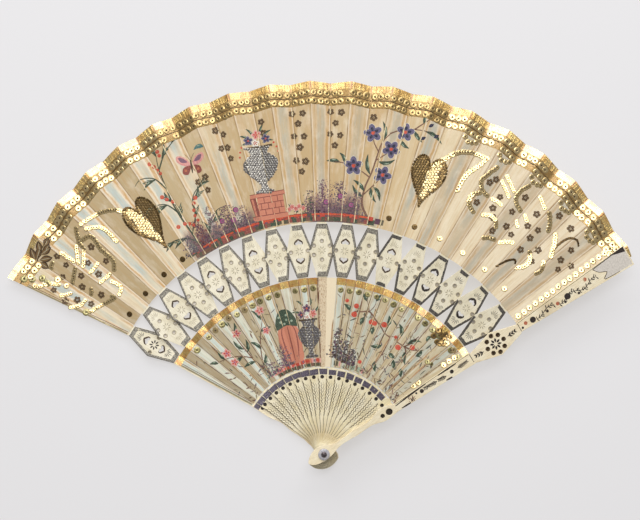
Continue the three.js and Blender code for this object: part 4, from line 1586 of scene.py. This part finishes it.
def garden_vase(painting, spangles, place, height, width, pitch, radius):
    """A footed vase filled with rows of steel spangles, with a dark rim and lines round it"""
    profile = [(0.42, 0), (0.44, 0.05), (0.2, 0.1), (0.14, 0.2), (0.3, 0.27), (0.66, 0.42), (0.86, 0.58),
               (0.84, 0.7), (0.56, 0.8), (0.42, 0.86), (0.52, 0.95), (0.7, 1.0)]
    right = smooth_path([(w * width / 2, h * height) for w, h in profile], 3)
    outline = place.loop(right + [(-x, y) for x, y in right[::-1]])
    painting.add(outline, "slate", 4)
    painting.add(place.box(-0.36 * width, height * 0.975, 0.36 * width, height * 1.02), "stain", 5)
    for level, half in ((0.05, 0.23), (0.26, 0.16), (0.8, 0.28)):
        ring = place.loop([(-half * width, height * level), (0, height * (level - 0.01)),
                           (half * width, height * level)])
        painting.stroke(ring, [0.3, 0.4, 0.3], "stain", 6, 3)
    spangles.fill(outline, lambda x, y: contains(outline, x, y), pitch, radius, "steel_spangle", 0.05)


def bouquet(painting, place, turn, flowers, length, width, leaves):
    for x, y, reach, paint, throat in flowers:
        painting.blossom(*place.at(x, y), reach, turn + x, paint, throat)
    for x, y, degrees, curl in leaves:
        painting.blade(*place.at(x, y), length, width, place.turn(degrees), curl)


# A brick pedestal with a spangled garden vase on it
stand = Local(7.1, 136.5, 99.5)
upper_art.add(stand.box(-10.2, 0, 10.2, 2.6), "brick", 3)
upper_art.add(stand.box(-8.8, 2.6, 8.8, 13.2), "brick", 3)
upper_art.add(stand.loop([(-10.4, 13.2), (10.4, 13.2), (9.8, 15.4), (-9.8, 15.4)]), "brick", 3)
upper_art.add(stand.loop([(-10.4, 13), (-6.4, 13), (-6.2, 2.6), (-8.8, 2.6)]), "mortar", 4)
upper_art.add(stand.loop([(-9.6, 12.8), (-8.4, 12.8), (-7.6, 2.8), (-8.6, 2.8)]), "brick", 5)
for level, half in ((2.6, 10.2), (6.1, 8.8), (9.6, 8.8), (13.1, 10.2), (15.4, 10.2)):
    course = stand.loop([(-half, level), (0, level + 0.1), (half, level)])
    upper_art.stroke(course, [0.35, 0.5, 0.35], "mortar", 6, 4)
for level, places in ((2.6, (-2.4, 1.6, 5.4)), (6.1, (-4.4, -0.4, 3.6, 7)), (9.6, (-2.4, 1.6, 5.4))):
    for x in places:
        joint = stand.loop([(x, level), (x, level + 1.7), (x, level + 3.4)])
        upper_art.stroke(joint, [0.4, 0.4, 0.4], "mortar", 6, 2)
vase = Local(7.1, 151.8, 99.5)
garden_vase(upper_art, upper_spangles, vase, 27, 23, 1.5, 0.74)
bouquet(upper_art, vase, 0.4, (
    (-5, 31.2, 2.6, "petal", "navy"), (5.2, 31, 2.5, "petal", "navy"), (0.2, 34, 2.7, "rose", "crimson"),
    (-1.2, 29.4, 2.1, "white", "coral"),
), 6.5, 1.5, (
    (-3, 29, 62, 0.5), (3, 29, -58, -0.5), (-4, 31.6, 40, 0.4), (3.5, 32, -35, -0.4), (-1.5, 33, 18, 0.3),
    (2, 34, -12, -0.3),
))
for x, y in ((-9.4, 28), (-10.6, 25.4), (-11.2, 22.6), (9.4, 28), (10.6, 25.4), (11.2, 22.6)):
    upper_art.dot(*vase.at(x, y), 0.6, "berry", 5)

# A trailing garland on the ground beside the pedestal
for k in range(9):
    spot = Local(7.75 + 0.075 * k, 138.5 + 1.2 * math.sin(k * 1.1))
    upper_art.blade(*spot.at(0, 0), 4, 1.0, spot.turn(-70 + 35 * (k % 3)), 0.4)
for k in range(5):
    upper_art.blossom(*polar(7.8 + 0.13 * k, 140 + 1.3 * (k % 2)), 1.5, k, "rose", "crimson")

# A berry spray at the left
stem = [(-69.5, 116), (-75.5, 124.5), (-82, 133.5), (-87.5, 143), (-92, 153.5), (-95.5, 163), (-97, 171)]
upper_art.stroke(stem, [1.3, 1.1, 1.0, 0.8, 0.6, 0.3], "vine", 2, 6)
upper_art.strokes([
    [(-76, 125), (-74, 135), (-75.5, 145), (-72, 152), (-66.5, 156)],
    [(-72, 119.5), (-66, 124), (-65, 132), (-61.5, 138.5), (-56, 141)],
    [(-84, 137), (-91, 141.5), (-99, 140), (-103, 135.5)],
    [(-91, 151), (-98, 156.5), (-105.5, 156), (-109, 152)],
    [(-95, 162), (-92, 170.5), (-87.5, 177.5), (-84, 183)],
    [(-72, 120), (-79, 122), (-86.5, 120.5), (-92, 116.5)],
], [0.9, 0.7, 0.5, 0.25], "vine")
for x, y, length, degrees, curl in (
    (-74, 134, 7, 70, 0.6), (-75.3, 144, 8, 40, 0.6), (-66, 124, 8, 80, 0.7), (-64.8, 131, 7, 30, 0.7),
    (-90, 141.4, 8, 200, 0.5), (-98, 140.4, 7, 215, 0.4), (-97, 156, 8, 195, 0.5), (-93.5, 168, 8, 60, 0.4),
    (-96.5, 169, 8, 130, -0.5), (-88, 177, 7, 50, 0.5), (-79, 122.2, 8, 200, 0.4), (-86, 120.6, 7, 215, 0.3),
    (-82, 134, 8, 95, 0.4), (-87, 143, 7, 155, -0.4), (-72.5, 151, 7, 60, -0.5), (-70, 117, 9, 20, 0.5),
):
    upper_art.blade(x, y, length * 1.15, 1.9, math.radians(degrees), curl, "vine")
    turn = math.radians(degrees) + curl * 0.4
    for k in (1, 2, 3):
        start = (x + length * 0.24 * k * math.cos(turn), y + length * 0.24 * k * math.sin(turn))
        upper_art.blade(*start, length * 0.45, 0.8, turn - math.copysign(0.75, curl), curl * 0.5, "vine")
for berries in (
    [(-74, 145.5), (-74.8, 142.3), (-74.8, 138.3), (-74.2, 135.2), (-72.4, 132.7)],
    [(-83.8, 128.7), (-80.1, 130.6), (-77.5, 130.6), (-75.1, 129.9)],
    [(-93.3, 145.9), (-90.6, 144.6), (-87.2, 143.4)],
    [(-100.6, 165), (-98.1, 163.4), (-96.2, 161.5), (-94.3, 159.6)],
    [(-97.5, 174.5), (-96, 172), (-94.9, 169.8)],
):
    for k, (x, y) in enumerate(berries):
        size = 1.2 - 0.07 * k
        upper_art.dot(x, y, size, "crimson" if k % 2 else "berry", 6, 12)
        upper_art.dot(x - 0.2, y + 0.2, 0.45 * size, "coral", 7, 8)

# A butterfly above the spray
moth = Local(5.2, 181, 100)
for side in (-1, 1):
    for paint, layer, wing in (
        ("rose", 3, ((0.4, 0.5), (3, 5), (7.2, 6.6), (8, 3.6), (4.6, 0.6))),
        ("mauve", 4, ((2, 2.4), (4.4, 5), (6.8, 5.4), (5.4, 2.6))),
        ("mortar", 3, ((0.4, 0), (4.6, -0.6), (5.4, -4), (2.4, -4.8))),
    ):
        upper_art.add(moth.loop(smooth_path([(side * x, y) for x, y in wing], 4, True)), paint, layer)
    upper_art.dot(*moth.at(side * 3.6, -2.4), 0.8, "coral", 4)
    upper_art.stroke(moth.loop([(0, 3), (side * 1.4, 5.4), (side * 2.8, 7)]), [0.3, 0.25, 0.2], "stain", 4, 4)
upper_art.stroke(moth.loop([(0, -4.4), (0, -1), (0, 3.4)]), [0.4, 1.2, 0.7], "stain", 5, 4)
upper_art.blade(*polar(5.72, 188), 6, 2.6, math.radians(150), 0.8, "teal")

# A blue-flowered spray at the right
stem = [(24.5, 134.5), (21.8, 142), (23.5, 151), (27.5, 160), (30.5, 169), (33.5, 177), (39, 182.5)]
upper_art.stroke(stem, [1.5, 1.2, 1.0, 0.9, 0.8, 0.6, 0.4], "stem", 2, 6)
upper_art.strokes([
    [(22.6, 147), (28, 152), (33, 157)], [(26.2, 157), (21, 161), (16.5, 163)],
    [(29.6, 166.5), (34.5, 169.5), (38, 172)], [(38, 182), (46, 184.5), (54, 184), (61, 182.5)],
    [(52, 184.3), (57, 187.5), (61.5, 190.5)], [(16.5, 163), (10.5, 165.5), (5.5, 166)],
    [(31.4, 171.5), (29, 176.5), (28.2, 181)],
], [0.8, 0.6, 0.4], "stem", 5)
for x, y, reach, turn in ((28.2, 182.4, 5.0, 0.5), (46.8, 182.8, 4.9, 0.1), (38.6, 173, 4.9, 0.9),
                          (17, 163.6, 5.2, 0.3), (33.6, 158.2, 5.0, 1.1)):
    upper_art.blossom(x, y, reach, turn)
upper_art.blades([
    (34, 178, 11, 62, 0.5), (26.5, 158.5, 12, 118, -0.4), (31, 166, 10, -28, 0.6), (9.5, 165.6, 8, 150, 0.4),
    (12, 164.8, 7, 80, 0.6), (58, 183, 12, -8, -0.5), (57, 187.5, 6, 60, 0.4), (52, 183.5, 8, -75, 0.3),
    (22.4, 146, 9, 160, -0.5), (23, 149, 9, 110, 0.4), (28, 151.5, 9, -30, -0.6), (27, 151, 9, -100, 0.5),
    (44, 178.5, 7, -70, 0.4),
], 2.3)
for x, y in ((61.5, 186.2), (56.8, 178.8), (64.5, 180)):
    upper_art.add(lens(x - 1.6, y - 0.6, 3.6, 1.9, 0.5), "navy", 4)


# Painting of the lower leaf

lower_art.ground(3.6, 8.7, 50.9, 53.8, ["rose", "coral", "crimson", "rose"], 2, 0.16, 0.1)
lower_art.ground(4.4, 8.6, 51.6, 53, ["crimson", "berry", "mauve"], 3, 0.14, 0.3)
lower_art.ground(4.2, 8.8, 49, 51, ["earth", "leaf_green", "stem"], 2, 0.14, 0.15)
lower_art.ground(9.9, 13.4, 49.6, 52.4, ["earth", "rose", "pale_green", "stem"], 1, 0.16, 0.4)
for k in range(330):
    place = decor_rng.uniform(0.3, 17.6) if k % 3 else decor_rng.uniform(10.5, 17.7)
    if 8.7 < place < 9.8:
        continue
    width = decor_rng.uniform(0.3, 0.9)
    x, y = polar(place, 50 + 40 * decor_rng.random() ** 1.5)
    look = decor_rng.choice(["stem", "vine", "slate", "earthy_gilt", "olive_wash"])
    length, turn = decor_rng.uniform(1.4, 4.4), decor_rng.uniform(0, TURN)
    lower_art.blade(x, y, length, width, turn, 0.2, look, "dusk", 1)

# A rose spray at the left
stem = [(-30, 43.5), (-38, 50), (-45.5, 58), (-51.5, 66), (-55, 73)]
lower_art.stroke(stem, [0.9, 0.7, 0.6, 0.4, 0.2], "stem", 2, 6)
lower_art.stroke([(-41, 53), (-48, 54), (-56, 52.5), (-63, 49)], [0.7, 0.5, 0.3], "stem", 2, 6)
stem = [(-34, 46.5), (-36, 56), (-36.5, 66), (-35.5, 76), (-37, 84)]
lower_art.stroke(stem, [0.7, 0.6, 0.4, 0.2], "stem", 2, 6)
for x, y, reach, turn in ((-56, 55.5, 2.7, 0.6), (-51.5, 50.5, 2.4, 1.4), (-50.5, 67, 2.6, 0.2),
                          (-37, 80.5, 2.6, 0.8), (-33, 69, 2.2, 0.1)):
    lower_art.blossom(x, y, reach, turn, "rose", "crimson", "magenta")
lower_art.blades([
    (-46, 58, 8, 165, -0.4), (-44, 56, 8, 75, 0.4), (-52, 66.5, 7, 60, 0.5), (-54, 71, 6, 130, 0.4),
    (-36, 58, 8, 120, 0.5), (-36.5, 68, 7, 50, -0.4), (-36, 75, 8, 115, 0.4), (-39, 51, 8, 190, 0.3),
    (-57, 52, 7, 150, -0.4), (-34.5, 49, 7, 60, 0.4), (-47, 54, 7, 220, 0.3), (-61, 49.5, 5, 160, 0.4),
], 2.0)

# A pot with a clipped shrub, and a spangled vase
pot = Local(6.35, 53.5, 104)
body = [(-4.6, 0), (-6, 8), (-6.4, 15), (-4.8, 21), (0, 23), (4.8, 21), (6.4, 15), (6, 8), (4.6, 0)]
lower_art.add(pot.loop(smooth_path(body, 4, True)), "brick", 3)
for x in (-3.6, 0.2, 3.8):
    flute = pot.loop([(x * 0.6, 1), (x, 9), (x * 1.1, 17), (x * 0.8, 21)])
    lower_art.stroke(flute, [0.3, 0.8, 0.6, 0.3], "mortar", 4, 4)
shrub = [(-6.4, 20), (-5.4, 26), (-2.4, 30.5), (2.4, 30.5), (5.4, 26), (6.4, 20), (0, 21.6)]
lower_art.add(pot.loop(smooth_path(shrub, 4, True)), "leaf_green", 5)
for x, y in ((-3, 24), (1, 27.5), (3.4, 23.6), (-1, 22.8), (0.6, 24.8), (-3.4, 27)):
    lower_art.dot(*pot.at(x, y), 0.7, "pale_green", 6)
vase = Local(7.95, 54, 96)
garden_vase(lower_art, lower_spangles, vase, 22, 15, 1.7, 0.75)
bouquet(lower_art, vase, 0.3, (
    (-3.4, 25, 2.2, "mauve", "navy"), (3.2, 25.2, 2.2, "rose", "crimson"), (0, 28.4, 2.4, "mauve", "navy"),
    (-0.4, 23.4, 1.7, "white", "coral"),
), 5, 1.3, ((-4, 26, 60, 0.4), (4, 26, -60, 0.4), (-2, 30, 25, 0.4), (2.4, 30, -20, 0.4)))
lower_art.sprinkle(5.55, 53, 6, 13, 90, ["mauve", "mauve", "slate"], (0.3, 0.6))
lower_art.sprinkle(3.9, 52, 8, 9, 60, ["mauve", "pale_green", "slate"], (0.3, 0.55))

# Dull spangles at the edge near the right end, and the worn lines along the folds
for _ in range(18):
    x, y = polar(decor_rng.uniform(15.7, 16.45), decor_rng.uniform(89.5, 98.6))
    lower_spangles.add(x, y, decor_rng.uniform(1.3, 1.9), "bronze_spangle", 0.02)
WORN_LINES = (("stem", 0.45), ("earthy_gilt", 0.5), ("coral_wash", 1.0), ("stain", 0.3))
for k in range(72):
    side = decor_rng.choice((-0.25, 0.25, 0.3, -0.3))
    place = side + (decor_rng.randint(10, 17) if k % 3 else decor_rng.randint(1, 8))
    inner = 50 + 30 * decor_rng.random()
    outer = min(inner + decor_rng.uniform(6, 24), 94)
    path = [polar(place + decor_rng.uniform(-0.03, 0.03), inner + (outer - inner) * share)
            for share in (0, 0.35, 0.7, 1)]
    look, width = decor_rng.choice(WORN_LINES)
    lower_art.stroke(path, [0.1, width, width * 0.6, width, 0.1], look, 1, 3)

# Rock work with beads, and a red berry branch at the right
for across, base, wide, tall in ((10.2, 54, 5, 17), (10.9, 53, 6, 12), (11.6, 52, 5, 9)):
    lower_art.sprinkle(across, base, wide, tall, 110, ["slate", "slate", "stain", "plum"], (0.3, 0.7))
    for k in range(6):
        x, y = polar(across + decor_rng.uniform(-0.14, 0.14), base + 1.5 + k * tall / 6.4)
        lower_spangles.add(x, y, 1.3 if across < 10.5 else 0.85, "steel_spangle")
lower_art.strokes([
    [(17.4, 80.3), (21, 80), (26.1, 80), (29.6, 75.5), (32.5, 71.5), (34.7, 67.9), (37.6, 65.4)],
    [(41.7, 62.9), (45.7, 60.4), (49.5, 58.6), (53.2, 58.2)], [(45.7, 60.4), (46.5, 57), (44, 51)],
    [(37.6, 65.4), (34, 58), (28.5, 50), (25, 46)], [(45.7, 60.4), (49, 62), (54, 66)],
], [0.6, 0.9, 0.8, 0.5], "stem")
lower_art.strokes([
    [(21, 80), (18.7, 83.3)], [(27, 79), (27.1, 74.2)], [(26.1, 80), (25.4, 84), (24.5, 88)],
    [(26.1, 80), (29.5, 84), (30, 88)], [(31, 73.5), (34.4, 72.7)], [(36, 66.5), (40.9, 65.7)],
], [0.5, 0.4, 0.25], "stem", 4)
for x, y, size in (
    (18.7, 83.3, 1.5), (17.4, 78.5, 1.7), (27.1, 74.2, 1.5), (29, 73.4, 1.4), (34.4, 72.7, 1.7),
    (42.1, 59.9, 1.6), (50.3, 59.9, 1.5), (40.9, 65.7, 1.0), (13.4, 86.4, 1.1), (20.5, 51.5, 1.1),
):
    lower_art.dot(x, y, size, "berry", 4)
    lower_art.dot(x + 0.3 * size, y - 0.2 * size, 0.55 * size, "crimson", 5, 8)
    lower_art.dot(x - 0.35 * size, y + 0.35 * size, 0.22 * size, "coral", 6, 6)
lower_art.blades([
    (15.6, 80.6, 5.5, 118, 0.3), (23, 77, 5, 230, 0.3), (44, 66, 7.5, 70, 0.5), (47.6, 61.8, 7.5, 35, -0.4),
    (46.2, 57.4, 7, 250, 0.3), (52, 55, 5, 10, 0.6), (28.5, 71.5, 4.5, 240, 0.3), (24.6, 86, 5, 100, 0.3),
    (30, 86, 5.5, 60, -0.3), (36.5, 72, 6, 60, 0.4), (33, 61, 6.5, 205, -0.4), (29, 52, 6, 250, 0.4),
    (39.5, 53, 6, 262, 0.3), (37, 57, 5, 300, 0.3), (44, 48, 5, 250, 0.3), (61, 66, 4, 200, 0.4),
], 2.5)
for x, y, size in ((58.6, 51.8, 1.5), (69.4, 62.1, 1.9), (57.4, 73.6, 1.5), (73.6, 58.5, 1.8),
                   (61, 50.6, 1.2)):
    lower_spangles.add(x, y, size, "spangle" if x > 69 else "green_spangle")

for decoration in (upper_spangles, lower_spangles, upper_art, lower_art):
    decoration.finish()


# Floor, light and camera

def build_floor():
    mesh = bpy.data.meshes.new("floor")
    corners = [(x, y, -0.0002) for x, y in ((-3, -3), (3, -3), (3, 3), (-3, 3))]
    mesh.from_pydata(corners, [], [(0, 1, 2, 3)])
    mesh.uv_layers.new(name="leaf")
    mesh.materials.append(LOOKS["floor"])
    add_object("floor", mesh)


def add_light(name, place, aim, size, power):
    light = bpy.data.lights.new(name, "AREA")
    light.shape = "RECTANGLE"
    light.size, light.size_y = size
    light.energy = power
    lamp = add_object(name, light)
    lamp.location = place
    lamp.rotation_euler = (Vector(aim) - Vector(place)).to_track_quat("-Z", "Y").to_euler()


def build_camera():
    camera = bpy.data.cameras.new("camera")
    camera.lens = CAMERA_LENS
    camera.sensor_width = SENSOR
    camera.clip_start = 0.01
    tilt_x, tilt_y = (math.radians(a) for a in CAMERA_TILT)
    turn = Matrix.Rotation(tilt_y, 4, "Y") @ Matrix.Rotation(tilt_x, 4, "X")
    holder = add_object("camera", camera)
    holder.matrix_world = Matrix.Translation(Vector(CAMERA_PLACE) * MM) @ turn
    bpy.context.scene.camera = holder


def build_world():
    world = bpy.data.worlds.new("studio")
    world.use_nodes = True
    background = world.node_tree.nodes["Background"]
    background.inputs["Color"].default_value = linear((226, 226, 230))
    background.inputs["Strength"].default_value = 0.4
    bpy.context.scene.world = world


build_floor()
add_light("key", (-0.05, 1.15, 0.75), (0, 0.08, 0), (1.6, 0.6), 12.0)
add_light("overhead", (-0.05, 0.53, 1.18), (0, 0.12, 0), (0.8, 0.37), 6.2)
build_camera()
build_world()
bpy.context.scene.view_settings.view_transform = "Standard"
